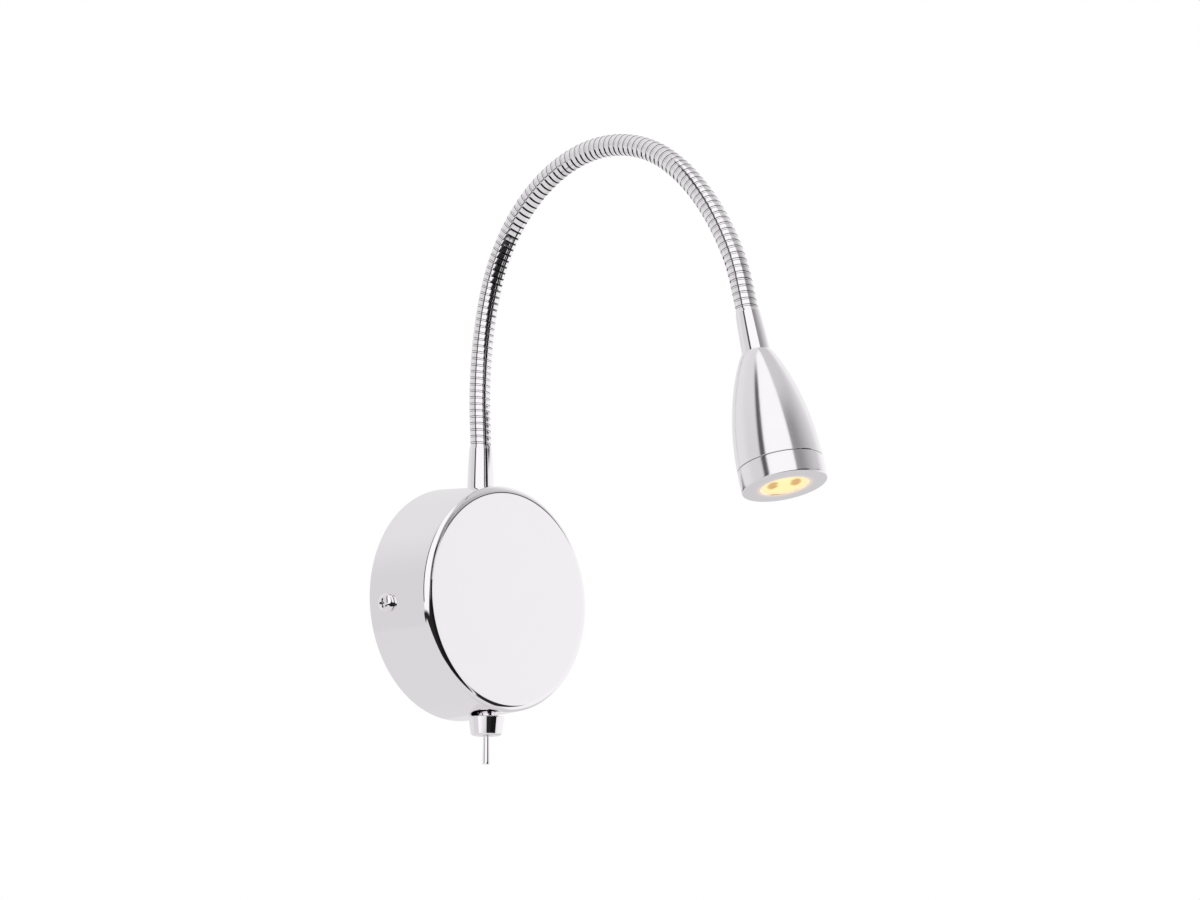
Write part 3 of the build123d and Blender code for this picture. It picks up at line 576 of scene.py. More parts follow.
def plated(name, colour, roughness=0.3):
    """Plated or drawn metal: cloudy in tint, with fine drawing lines."""
    made = Finish(name)
    where = made.place()
    clouds = made.noise(where, 90.0, 4.0)
    lines = made.noise(made.stretched(where, (3000.0, 160.0, 160.0)), 1.0, 2.0)
    made.set(Base_Color=made.mix(clouds, rgba(colour, 0.82), rgba(colour)), Metallic=1.0,
             Roughness=roughness + 0.12 * clouds + 0.05 * lines, Normal=made.bump(lines, 0.1, 0.00003))
    return made.material


def fibre_board():
    """The circuit board: green lacquer over a copper pattern and the glass cloth's weave."""
    made = Finish("fibre_board")
    where = made.place()
    weave = made.noise(made.stretched(where, (2600.0, 2600.0, 900.0)), 1.0, 1.0)
    copper = made.add("ShaderNodeTexVoronoi", {"distance": "CHEBYCHEV"}, {"Vector": where, "Scale": 330.0})
    track = made.above(copper, 0.30, 0.36)
    green = made.mix(track, rgba((0.05, 0.24, 0.10)), rgba((0.12, 0.40, 0.18)))
    made.set(Base_Color=green, Roughness=0.30 + 0.15 * weave, Coat_Weight=0.4,
             Normal=made.bump(weave + 2.0 * track, 0.2, 0.00003))
    return made.material


def wound_ferrite():
    """The transformer: dark sintered ferrite with a yellow taped winding in its middle."""
    made = Finish("wound_ferrite")
    where = made.place()
    grains = made.noise(where, 2500.0, 2.0)
    across = made.add("ShaderNodeSeparateXYZ", {}, {0: where})
    side = made.add("ShaderNodeMath", {"operation": "ABSOLUTE"}, {0: across})
    tape = 1.0 - made.above(side, 3.55 * MM, 3.75 * MM)
    made.set(Base_Color=made.mix(tape, rgba((0.05, 0.05, 0.055)), rgba((0.72, 0.55, 0.08))),
             Roughness=0.6 - 0.25 * tape + 0.1 * grains, Normal=made.bump(grains, 0.3, 0.00005))
    return made.material


def foam_tape():
    """Closed cell foam: dark, dry and pitted."""
    made = Finish("foam_tape")
    pits = made.add("ShaderNodeTexVoronoi", {}, {"Vector": made.place(), "Scale": 1500.0})
    made.set(Base_Color=made.mix(pits, rgba((0.03, 0.03, 0.03)), rgba((0.10, 0.10, 0.10))),
             Roughness=0.85 + 0.1 * pits, Normal=made.bump(pits, 0.5, 0.0001))
    return made.material


def phosphor():
    """The LED's lit phosphor under its silicone dome."""
    made = Finish("phosphor")
    cells = made.noise(made.place(), 1800.0, 2.0)
    glow = bpy.context.scene.lamp_finishes.glow
    made.set(Base_Color=made.mix(cells, rgba((0.9, 0.7, 0.2)), rgba((1.0, 0.85, 0.4))), Roughness=0.3,
             Emission_Color=made.mix(cells, rgba(glow, 0.9), rgba(glow)), Emission_Strength=2.0)
    return made.material


def inside_finishes():
    """The finishes of the CAD nodes that stay shown, by the record's material slots."""
    return {
        "zinc_steel": plated("zinc_steel", (0.66, 0.67, 0.69)),
        "brass": plated("brass", (0.80, 0.62, 0.30), 0.22),
        "chrome": chrome_plate("plated_parts"),
        "satin_aluminium": plated("turned_disc", (0.78, 0.78, 0.79)),
        "terminal_plastic": moulded("terminal_plastic", (0.86, 0.85, 0.80), 0.4),
        "driver_plastic": moulded("driver_plastic", (0.88, 0.88, 0.86), 0.5),
        "switch_plastic": moulded("switch_plastic", (0.03, 0.03, 0.035), 0.3),
        "foam": foam_tape(),
        "circuit_board": fibre_board(),
        "white_board": moulded("white_board", (0.86, 0.86, 0.83), 0.35),
        "ferrite": wound_ferrite(),
        "capacitor_sleeve": moulded("capacitor_sleeve", (0.05, 0.07, 0.18), 0.25),
        "clear_lens": moulded("lens_plastic", (0.9, 0.9, 0.88), 0.1),
        "holder_plastic": moulded("holder_plastic", (0.88, 0.88, 0.85), 0.3),
        "led": phosphor(),
        "wire_brown": moulded("wire_brown", (0.24, 0.10, 0.04), 0.35),
        "wire_blue": moulded("wire_blue", (0.04, 0.14, 0.50), 0.35),
        "wire_white": moulded("wire_white", (0.85, 0.85, 0.84), 0.35),
    }


# ---------------------------------------------------------------- the cover and its screws
COVER_RIM_EDGE = 0.2 * MM        # radius on both edges of the rim
NECK_HOLE = 4.2 * MM             # radius of the hole for the base ferrule's stem
SWITCH_HOLE = 3.33 * MM          # radius of the hole for the switch's bushing
SIDE_SCREW_HOLE = 2.3 * MM       # radius
SIDE_SCREW_REACH = 43.55 * MM    # from the cover's axis to the seat of a screw's head
SIDE_SCREW_DEPTH = 9.0 * MM      # from the wall to a screw's axis
SIDE_SCREW_DROP = radians(5.3)   # how far both screws point below level
SCREW_HEAD = 3.6 * MM            # radius
SCREW_RIM = 0.9 * MM             # height of the head's straight side
SCREW_HEIGHT = 2.5 * MM          # of the whole head
SCREW_SHANK = 2.0 * MM           # radius
SCREW_LENGTH = 8.0 * MM          # under the head
SCREW_SHARP = 35.0               # degrees, so that the dome stays smooth beside its recess
RECESS_REACH = 1.95 * MM         # from a screw's axis to the end of an arm of its recess
RECESS_HALF_WIDTH = 0.42 * MM
RECESS_TOP = SCREW_HEIGHT + 0.2 * MM    # the cutter stands proud of the head
RECESS_DEPTH = 1.5 * MM          # from there


def middle_y(node):
    """The middle of a CAD node along y."""
    low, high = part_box(node)
    return (low.y + high.y) / 2


class LAMP_OT_cover(bpy.types.Operator):
    """The deep-drawn chrome cover"""

    bl_idname = "lamp.cover"
    bl_label = "Cover"

    def execute(self, context):
        sizes = context.scene.lamp_sizes
        low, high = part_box("cover")
        rim, depth = high.x, -low.y
        front = rim - sizes.rim_growth
        slope = atan2(rim - front, depth)
        reach = sizes.cover_wall / cos(slope)
        inner_front = front + (rim - front) * sizes.cover_wall / depth - reach
        corners = [(0, depth), (front, depth), (rim, 0), (rim - reach, 0),
                   (inner_front, depth - sizes.cover_wall), (0, depth - sizes.cover_wall)]
        edge = sizes.cover_edge
        radii = [0, edge, COVER_RIM_EDGE, COVER_RIM_EDGE, edge - sizes.cover_wall, 0]
        outline = between(rounded(corners, radii, steps=14), 1.5 * MM)
        outwards = place_on((0, 0, 0), (0, -1, 0))
        cover = make_piece("chrome_cover", turned_surface(outline, outwards, segments=240), chrome_plate())
        up = place_on((0, middle_y("ferrule_lock_nut"), 0), (0, 0, 1))
        down = place_on((0, middle_y("switch_inner_nut"), 0), (0, 0, -1))
        inside, outside = rim * 0.5, rim * 1.2
        cutters = [rod_surface(up, NECK_HOLE, inside, outside),
                   rod_surface(down, SWITCH_HOLE, inside, outside)]
        cutters += [rod_surface(place, SIDE_SCREW_HOLE, -6 * MM, 4 * MM) for place in side_screw_places()]
        cut_from(cover, cutters)
        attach(cover, "base")
        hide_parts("cover")
        return {"FINISHED"}


def side_screw_places():
    """Where the side screws' heads sit on the cover, facing out: the left one, then the right one."""
    outs = [np.array([side * cos(SIDE_SCREW_DROP), 0, -sin(SIDE_SCREW_DROP)]) for side in (-1, 1)]
    return [place_on(out * SIDE_SCREW_REACH + np.array([0, -SIDE_SCREW_DEPTH, 0]), out, (0, -1, 0))
            for out in outs]


def side_screw_outline():
    """A screw's outline from its foot to the top of its domed head.

    The dome runs over a quarter turn t: its radius is the head's times cos t to the power 0.8, and it
    rises from the rim by the rest of the head's height times sin t.
    """
    turn = np.linspace(0, 1, 14)[1:-1] * pi / 2
    dome = np.stack([SCREW_HEAD * np.cos(turn) ** 0.8,
                     SCREW_RIM + (SCREW_HEIGHT - SCREW_RIM) * np.sin(turn)], -1)
    shank = [(0, -SCREW_LENGTH), (SCREW_SHANK, -SCREW_LENGTH), (SCREW_SHANK, -0.2 * MM)]
    rim = [(SCREW_HEAD - 0.15 * MM, -0.05 * MM), (SCREW_HEAD, 0.1 * MM), (SCREW_HEAD, SCREW_RIM)]
    return np.concatenate([shank, rim, dome, [(0, SCREW_HEIGHT)]])


class LAMP_OT_side_screws(bpy.types.Operator):
    """The two chrome screws that hold the cover"""

    bl_idname = "lamp.side_screws"
    bl_label = "Side screws"

    def execute(self, context):
        finish = chrome_plate("screw_chrome")
        outline = side_screw_outline()
        for name, place in zip(("left", "right"), side_screw_places()):
            screw = make_piece(f"side_screw_{name}", turned_surface(outline, place, segments=64), finish)
            cut_from(screw, [recess_arm(place, turn) for turn in (0, pi / 2)], SCREW_SHARP)
            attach(screw, "base")
            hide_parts("side_screws")
        return {"FINISHED"}


def recess_arm(place, turn):
    """One arm of a cross recess, turned about the screw's axis.

    It is a box whose foot is drawn in: its length to 0.55 of that at the top, its width by half as much.
    """
    heights = np.array([RECESS_TOP - RECESS_DEPTH, RECESS_TOP])
    spread = np.array([0.55, 1.0])
    x = np.array([1, -1, -1, 1]) * RECESS_REACH
    y = np.array([1, 1, -1, -1]) * RECESS_HALF_WIDTH
    points = np.stack([spread[:, None] * x, (0.5 + spread[:, None] / 2) * y,
                       np.broadcast_to(heights[:, None], (2, 4))], -1).reshape(-1, 3)
    spin = np.array([[cos(turn), -sin(turn), 0], [sin(turn), cos(turn), 0], [0, 0, 1]])
    faces = np.array([[0, 3, 2, 1], [4, 5, 6, 7], [0, 1, 5, 4], [1, 2, 6, 5], [2, 3, 7, 6], [3, 0, 4, 7]])
    return placed(points @ spin.T, place), faces, np.zeros((6, 4, 2))


# ---------------------------------------------------------------- the ferrules
FERRULE_FOOT = 5.0 * MM          # radius at the seat
FERRULE_WAIST = 4.83 * MM        # radius at WAIST_SHARE of the length
FERRULE_TOP = 4.35 * MM          # radius at the cone
WAIST_SHARE = 0.38
FERRULE_LIP = 1.0 * MM           # length of the cone at the mouth
FOOT_SINKING = 0.9 * MM          # how far the base ferrule's foot goes down round the cover's side
SOCKET_DEPTH = 5.4 * MM          # how far the neck goes in
STEM_RADIUS = 4.0 * MM
STEM_BORE = 2.5 * MM
STEM_LENGTH = 7.4 * MM


def ferrule_surface(place, seat_low, sizes):
    """A ferrule with its stem: its side is a shallow arc from foot to mouth, its mouth a short cone.

    At the share s of its length the side's radius is even between foot and top, plus four times the
    bulge times s (1 - s).
    """
    length = sizes.ferrule_length
    mouth = sizes.neck_radius + 0.12 * MM
    foot, top = FERRULE_FOOT, FERRULE_TOP
    share = np.linspace(0, 1, 24)
    bulge = FERRULE_WAIST - (foot + (top - foot) * WAIST_SHARE)
    side_radius = foot + (top - foot) * share + bulge * 4 * share * (1 - share)
    side = np.stack([side_radius, share * (length - FERRULE_LIP)], -1)
    cone = [(top - 0.05 * MM, length - FERRULE_LIP + 0.06 * MM), (mouth + 0.03 * MM, length - 0.05 * MM),
            (mouth - 0.04 * MM, length)]
    socket = sizes.neck_radius + 0.02 * MM
    inside = [(socket, length - 0.04 * MM), (socket, length - SOCKET_DEPTH),
              (STEM_BORE, length - SOCKET_DEPTH), (STEM_BORE, -STEM_LENGTH), (STEM_RADIUS, -STEM_LENGTH),
              (STEM_RADIUS, seat_low), (foot, seat_low)]
    outline = np.concatenate([side, cone, inside])
    return turned_surface(between(outline, 1.2 * MM), place, segments=96)


class LAMP_OT_ferrules(bpy.types.Operator):
    """The two chrome ferrules at the neck's ends"""

    bl_idname = "lamp.ferrules"
    bl_label = "Ferrules"

    def execute(self, context):
        sizes = context.scene.lamp_sizes
        finish = chrome_plate("ferrule_chrome")
        mouth = neck_end(False)
        length = sizes.ferrule_length
        seat = np.array([0, mouth[1], mouth[2] - length])
        surface = ferrule_surface(place_on(seat, (0, 0, 1)), -FOOT_SINKING, sizes)
        base = make_piece("base_ferrule_chrome", surface, finish)
        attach(base, "base")
        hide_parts("base_ferrule")
        end = neck_end(True)
        axis = along(HEAD_LEAN)
        surface = ferrule_surface(place_on(end + axis * length, -axis), 0.0, sizes)
        head = make_piece("head_ferrule_chrome", surface, finish)
        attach(head, "head")
        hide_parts("head_ferrule")
        return {"FINISHED"}


# ---------------------------------------------------------------- the neck
BAND_WIDTH = 1.74 * MM
STRIP_WIDTH = 0.54 * MM
STRIP_RADIUS = 3.88 * MM
SIDE_HEIGHT = 0.4 * MM           # of the sides of band and strip
GAP_RADIUS = 3.30 * MM           # down in the gaps
GAP_STEP = 0.03 * MM             # from the foot of a band's side to the middle of the gap beside it
BORE_RADIUS = 2.7 * MM
STRIP_SINKING = 0.32 * MM        # how far the strip goes down between bands that close up on it
# painted shade: over the same squeeze the strip's level drops, so its finish paints it dark
SQUEEZE_START = 0.022            # the share by which a bend shortens the hose where the strip starts to sink
SQUEEZE_END = 0.044              # and where it is down
HOSE_SHARP = 30.0                # degrees
STILL_TURNS = 0.70               # turns at each end of a length, left off the ends that the neck operator works out and does not use


def pivot_headings():
    """The lean of each of the neck's straight runs: the first, those from pivot to pivot, the last."""
    runs = np.diff(PIVOTS, axis=0)
    return np.concatenate([[BASE_LEAN], np.arctan2(-runs[:, 0], runs[:, 1]), [HEAD_LEAN]])


def neck_end(far):
    """The neck's end in a ferrule's mouth: the near one, or the far one."""
    sizes = bpy.context.scene.lamp_sizes
    reach = LINK / 2 + sizes.stub_turns * sizes.neck_pitch
    pivot = PIVOTS[-1] if far else PIVOTS[0]
    run = along(HEAD_LEAN) if far else -along(BASE_LEAN)
    return np.array([0, pivot[0], pivot[1]]) + run * reach


def neck_line(turns):
    """Centres, leans and curvatures of the neck at turn numbers, counted from the near ferrule's mouth.

    Between the middles of two runs the line is the arc that touches both runs there: about a pivot
    where the neck bends by b it has the radius (half a run) / tan(b / 2). Beyond the outer arcs it
    is straight. A place on an arc is its start plus the radius times the change of (cos, sin) of the
    lean, because the lean grows evenly along an arc.
    """
    sizes = bpy.context.scene.lamp_sizes
    leans = pivot_headings()
    per_run = round(LINK / sizes.neck_pitch)
    joints = len(PIVOTS)
    local = (np.asarray(turns, float) - sizes.stub_turns) / per_run
    number = np.clip(np.floor(local), 0, joints - 1).astype(int)
    share = np.clip(local - number, 0, 1)
    bend = leans[number + 1] - leans[number]
    lean = leans[number] + bend * share
    radius = LINK / 2 / np.tan(bend / 2)
    flat = along(leans[number])[..., 1:]
    start = PIVOTS[number] - flat * LINK / 2
    arc = np.stack([np.cos(lean) - np.cos(leans[number]), np.sin(lean) - np.sin(leans[number])], -1)
    centre = start + radius[..., None] * arc
    beyond = (local - number - share) * per_run * sizes.neck_pitch
    centre = centre + along(lean)[..., 1:] * beyond[..., None]
    curvature = np.where(beyond == 0, 1 / radius, 0)
    return np.concatenate([np.zeros(centre.shape[:-1] + (1,)), centre], -1), lean, curvature


class LAMP_OT_neck(bpy.types.Operator):
    """The gooseneck: a wound hose in short lengths, each curved across one joint"""

    bl_idname = "lamp.neck"
    bl_label = "Gooseneck"

    def execute(self, context):
        sizes = context.scene.lamp_sizes
        finish = hose_chrome()
        per_run = round(LINK / sizes.neck_pitch)
        joints = len(PIVOTS)
        first_cut = sizes.stub_turns + 0.5
        cuts = [-1.0] + [first_cut + per_run * run for run in range(joints + 1)]
        cuts.append(cuts[-1] + sizes.stub_turns + 1.5)
        for number, (low, high) in enumerate(zip(cuts, cuts[1:])):
            surface, caps, levels = hose_length(low, round(high - low), sizes)
            piece = make_piece(f"hose_{number:02d}", surface, finish, HOSE_SHARP, caps, levels)
            if number == 0:
                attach(piece, BODIES[0])
                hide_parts("neck_link_00")
            elif number == joints + 1:
                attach(piece, BODIES[-1])
            else:
                ends, _lean, _curvature = neck_line([low - 0.5 + STILL_TURNS, high - 0.5 - STILL_TURNS])
                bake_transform(piece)
                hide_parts(f"neck_link_{number:02d}")
        return {"FINISHED"}


def hose_outline(radius):
    """The strip and the band of the hose's outline, as rows of (offset along the neck, radius, level).

    A band is nearly flat, with bevelled edges. Between two bands lies the narrow inner strip, a little
    lower, with a fine gap on both sides. The offsets are from the middle of the strip or the band. The
    level is 1 on the bright faces and 0 down in the gaps, where the finish paints shade.
    """
    bevel = 0.05 * MM
    half = BAND_WIDTH / 2
    band = np.array([(-half, radius - SIDE_HEIGHT, 0), (-half, radius - 0.07 * MM, 0),
                     (-half + bevel, radius - 0.02 * MM, 1), (0, radius, 1)])
    half = STRIP_WIDTH / 2
    strip = np.array([(-half, STRIP_RADIUS - SIDE_HEIGHT, 0), (-half, STRIP_RADIUS - bevel, 0),
                      (-half + bevel, STRIP_RADIUS, 1), (0, STRIP_RADIUS, 1)])
    mirrored = np.array([-1, 1, 1])
    return [np.concatenate([part, part[-2::-1] * mirrored]) for part in (strip, band)]


def hose_rows(turns, sizes):
    """The hose's outline over some turns: its points' ties, offsets, radii, levels, and which are the strip's.

    A tie is the turn number that the point keeps its offset from: whole for the strip, half past it for
    the band. Each turn starts with a point down in the gap, and one more such point closes the last turn.
    """
    strip, band = hose_outline(sizes.neck_radius)
    gap = np.array([[-(sizes.neck_pitch - BAND_WIDTH) / 2 + GAP_STEP, GAP_RADIUS, 0]])
    one_turn = np.concatenate([gap, strip, band])
    offsets, radii, levels = np.concatenate([np.tile(one_turn, (turns, 1)), gap]).T
    ties = np.concatenate([np.zeros(1 + len(strip)), np.full(len(band), 0.5)])
    ties = np.append((np.arange(turns)[:, None] + ties).ravel(), turns)
    on_strip = np.zeros(len(one_turn), bool)
    on_strip[1:1 + len(strip)] = True
    return ties, offsets, radii, levels, np.append(np.tile(on_strip, turns), False)


def hose_length(first, turns, sizes, around=48):
    """A closed length of the hose, from a first turn on, as a helix that winds down to the left.

    A point at the angle a round the neck that is tied to the turn t lies at the turn number t - a / (2 pi),
    plus its offset. A bend stretches the hose there by 1 + curvature * radius * sin a. The bands keep
    their width. Where the stretch is over 1 the strip widens by all of it, so that its gaps stay fine, and
    where it is under 1 the strip sinks and gets painted shade, from SQUEEZE_START to SQUEEZE_END. The
    bore is a plain tube, and the wall is closed along both cut edges and across the two ends of the helix.
    """
    pitch = sizes.neck_pitch
    ties, offsets, radii, levels, on_strip = hose_rows(turns, sizes)
    angle = np.linspace(0, ROUND, around + 1)
    share = angle / ROUND
    tied = first + ties[None, :] - share[:, None]
    _centre, _lean, curvature = neck_line(tied)
    stretch = 1 + curvature * sizes.neck_radius * np.sin(angle)[:, None]
    widened = 1 + on_strip * np.clip(stretch - 1, 0, None) * pitch / STRIP_WIDTH
    number = tied + offsets * widened / (pitch * stretch)
    squeezed = np.clip((1 - stretch - SQUEEZE_START) / (SQUEEZE_END - SQUEEZE_START), 0, 1)
    outside = hose_points(number, radii - STRIP_SINKING * on_strip * squeezed, angle)
    bore_number = first + np.arange(turns + 1)[None, :] - share[:, None] + offsets[0] / pitch
    bore = hose_points(bore_number, np.full(bore_number.shape, BORE_RADIUS), angle)
    faces, corners, caps = hose_faces(turns, around + 1, len(ties))
    # painted shade: a squeezed strip's level drops towards 0, so the finish paints it dark like the gaps, and
    # the bore's level is 0
    levels = np.concatenate([(levels * (1 - on_strip * squeezed)).ravel(), np.zeros(bore_number.size)])
    surface = (np.concatenate([outside.reshape(-1, 3), bore.reshape(-1, 3)]), faces, corners)
    return surface, caps, levels


def hose_faces(turns, rows, columns):
    """The faces of a length of hose, with their corners' grid coordinates, and its two end caps.

    Its points are the outside's grid, one row for each angle, then the bore's with turns + 1 points in
    a row. The first cap closes the last turn of the first row, the second the first turn of the last row.
    """
    start = rows * columns
    outside_faces, outside_uv = grid_faces(rows, columns)
    bore_faces, bore_uv = grid_faces(rows, turns + 1)
    low_edge = np.arange(rows) * columns
    high_edge = low_edge + columns - 1
    low_bore = start + np.arange(rows) * (turns + 1)
    high_bore = low_bore + turns
    low_wall = np.stack([low_edge[:-1], low_edge[1:], low_bore[1:], low_bore[:-1]], -1)
    high_wall = np.stack([high_edge[:-1], high_bore[:-1], high_bore[1:], high_edge[1:]], -1)
    faces = np.concatenate([outside_faces, bore_faces[:, ::-1] + start, low_wall, high_wall])
    wall_uv = np.zeros((2 * (rows - 1), 4, 2), int)
    corners = np.concatenate([outside_uv, bore_uv[:, ::-1], wall_uv]).astype(float)
    per_turn = (columns - 1) // turns
    last_row = start - columns
    last_bore = start + (rows - 1) * (turns + 1)
    caps = [list(range(columns - per_turn - 1, columns)) + [start + turns, start + turns - 1],
            list(range(last_row + per_turn, last_row - 1, -1)) + [last_bore, last_bore + 1]]
    return faces, corners, caps


def hose_points(number, radius, angle):
    """Points at turn numbers, radii and angles round the neck's line."""
    centre, lean, _curvature = neck_line(number)
    inward = np.stack([np.zeros_like(lean), np.cos(lean), np.sin(lean)], -1)
    across = np.array([1.0, 0.0, 0.0])
    spread = (np.cos(angle)[:, None, None] * across + np.sin(angle)[:, None, None] * inward)
    return centre + radius[..., None] * spread


# ---------------------------------------------------------------- the head
SHELL_TOP = 5.2 * MM             # radius where the ferrule seats
SHELL_TOP_GAP = 0.05 * MM        # between the ferrule and the shell
STEM_HOLE = 4.05 * MM            # radius
CORE_RADIUS = 6.0 * MM           # the room for the leads
CORE_DEPTH = 12.0 * MM           # from the shell's top
BOARD_ROOM_RADIUS = 11.5 * MM
BOARD_ROOM_DEPTH = 30.0 * MM     # from the shell's top
MOUTH_RADIUS = 12.6 * MM         # of the seat for the ring's collar
MOUTH_DEPTH = 5.0 * MM           # from the shell's end
SEAM = 0.25 * MM                 # between the shell and the ring
COLLAR_RADIUS = 12.55 * MM
COLLAR_LENGTH = 5.2 * MM
RING_BORE = 11.0 * MM            # radius
# painted glow: the ring's face carries painted warm light this far from its opening
PAINTED_GLOW_REACH = 3.4 * MM           # how far from the opening the ring is warm
TURNED_SEGMENTS = 160


def head_place():
    """The head's own axes: its origin at the neck's far end, z along the head."""
    return place_on(neck_end(True), along(HEAD_LEAN))


def shell_outline(sizes):
    """The shell's closed outline: its swelling side, its mouth and the stepped room inside.

    With s the share of its length, the side's radius goes from the top's to the mouth's by
    (1 - (1 - s) ^ 1.9) ^ 0.85.
    """
    top = sizes.ferrule_length + SHELL_TOP_GAP
    end = sizes.ferrule_length + sizes.shell_length
    edge = 0.12 * MM
    share = np.linspace(0, 1, 72) ** 1.6
    swell = (1 - (1 - share) ** 1.9) ** 0.85
    side = np.stack([SHELL_TOP + (sizes.shell_radius - SHELL_TOP) * swell,
                     top + (end - edge - top) * share], -1)
    inside = [(sizes.shell_radius - edge, end), (MOUTH_RADIUS, end), (MOUTH_RADIUS, end - MOUTH_DEPTH),
              (BOARD_ROOM_RADIUS, end - MOUTH_DEPTH), (BOARD_ROOM_RADIUS, top + BOARD_ROOM_DEPTH),
              (CORE_RADIUS, top + BOARD_ROOM_DEPTH), (CORE_RADIUS, top + CORE_DEPTH),
              (STEM_HOLE, top + CORE_DEPTH), (STEM_HOLE, top)]
    return between(np.concatenate([side, inside]), 2.0 * MM)


class LAMP_OT_head(bpy.types.Operator):
    """The satin turned shell and the ring at its mouth"""

    bl_idname = "lamp.head"
    bl_label = "Head"

    def execute(self, context):
        sizes = context.scene.lamp_sizes
        place = head_place()
        surface = turned_surface(shell_outline(sizes), place, TURNED_SEGMENTS)
        shell = make_piece("satin_shell", surface, satin_aluminium())
        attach(shell, "head")
        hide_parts("head_shell")

        low = sizes.ferrule_length + sizes.shell_length + SEAM
        high = low + sizes.bezel_height
        wide = sizes.shell_radius
        opening = sizes.opening_radius
        lip = high - sizes.ring_lip
        corners = [(COLLAR_RADIUS, low - COLLAR_LENGTH), (COLLAR_RADIUS, low), (wide, low), (wide, high),
                   (opening + 0.1 * MM, high), (opening, lip), (RING_BORE, lip),
                   (RING_BORE, low - COLLAR_LENGTH)]
        radii = np.array([0.1, 0.05, 0.12, 0.45, 0.3, 0.1, 0.1, 0.1]) * MM
        outline = between(rounded(corners, radii, steps=8), 0.4 * MM)
        surface = turned_surface(outline, place, TURNED_SEGMENTS)
        # painted light: the levels by which the ring's finish paints its glow and its highlight
        levels = np.tile(ring_levels(outline, opening, lip, high), TURNED_SEGMENTS)
        ring = make_piece("satin_ring", surface, ring_aluminium(), levels=levels)
        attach(ring, "head")
        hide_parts("bezel_ring")
        return {"FINISHED"}


def ring_levels(outline, opening, lip, face):
    """How much painted light the ring has at each point of its outline: 2 in its opening, from 1 down to 0 on
    its face.

    On the face the level is the square of 1 less the share of PAINTED_GLOW_REACH that a point is from the
    opening.
    """
    radius, height = outline.T
    close = np.clip(1 - (radius - opening) / PAINTED_GLOW_REACH, 0, 1) ** 2
    bore = (radius < opening + 0.2 * MM) & (height < face - 0.3 * MM)
    return np.where(height > lip - 0.1 * MM, np.where(bore, 2.0, close), 0)


class LAMP_OT_lens(bpy.types.Operator):
    """The lit lens behind the ring's lip"""

    bl_idname = "lamp.lens"
    bl_label = "Lens"

    def execute(self, context):
        sizes = context.scene.lamp_sizes
        place = head_place()
        face = sizes.ferrule_length + sizes.shell_length + SEAM + sizes.bezel_height
        front = face - sizes.ring_lip - 0.05 * MM
        back = front - 1.0 * MM
        root = back - 15.0 * MM
        outline = np.array([(0, front - 0.35 * MM), (8.6 * MM, front - 0.05 * MM), (10.9 * MM, front),
                            (10.95 * MM, back), (10.15 * MM, back), (4.0 * MM, root), (0, root)])
        points, faces, _corners = turned_surface(between(outline, 0.6 * MM), place, segments=96)
        flat = (points - place[:3, 3]) @ place[:3, :3] / sizes.opening_radius
        corners = flat[faces][..., :2]
        lens = make_piece("lit_lens", (points, faces, corners), lit_lens())
        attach(lens, "head")
        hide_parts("lens")
        return {"FINISHED"}


# ---------------------------------------------------------------- the switch
NUT_BORE = 3.25 * MM             # radius, over the bushing
NUT_MOUTH = 2.9 * MM             # radius of the nut's lower opening
NUT_TAPER = 0.14                 # how much the nut's cone draws in for its height
NUT_FOOT_RADIUS = 1.9 * MM       # of the arc round the nut's lower edge
LEVER_BALL = 1.85 * MM
LEVER_ARM = 0.6 * MM             # radius of the arm behind the ball
LEVER_ARM_LENGTH = 8.0 * MM
LEVER_ROOT = 1.2 * MM            # radius at the nut's mouth
LEVER_TIP = 1.41 * MM


def nut_outline(rim, height):
    """The dress nut's closed outline from its seat down: a straight cone with an arc at its lower edge.

    The arc runs from 38 to 84 degrees and not from the cone's own slant, so a fine crease stays between.
    """
    turn = np.radians(np.linspace(38, 84, 12))
    foot = NUT_FOOT_RADIUS * np.stack([np.cos(turn) - cos(turn[0]), np.sin(turn) - sin(turn[-1])], -1)
    drop = np.linspace(0.3 * MM, height + foot[0, 1], 8)
    cone = np.stack([rim - NUT_TAPER * (drop - drop[0]), drop], -1)
    foot += [cone[-1, 0], height]
    seat = [(NUT_BORE, 0), (rim - 0.35 * MM, 0), (rim - 0.1 * MM, 0.1 * MM)]
    mouth = [(NUT_MOUTH + 0.3 * MM, height), (NUT_MOUTH, height - 0.3 * MM),
             (NUT_MOUTH, height - 0.5 * MM), (NUT_BORE, height - 0.5 * MM)]
    return between(np.concatenate([seat, cone, foot[1:], mouth]), 0.8 * MM)


def lever_outline(back, reach):
    """The lever's closed outline: its arm, the ball in the nut's mouth and the bat that shows."""
    arm = [(0, back), (LEVER_ARM - 0.1 * MM, back), (LEVER_ARM, back + 0.1 * MM)]
    turn = np.linspace(0.34, pi - 0.72, 14)
    ball = np.stack([LEVER_BALL * np.sin(turn), back + LEVER_ARM_LENGTH - LEVER_BALL * np.cos(turn)], -1)
    bat = [(LEVER_ROOT, -0.6 * MM), (LEVER_TIP, reach - 0.35 * MM),
           (LEVER_TIP - 0.03 * MM, reach - 0.12 * MM), (LEVER_TIP - 0.19 * MM, reach), (0, reach)]
    return between(np.concatenate([arm, ball, bat]), 0.8 * MM)


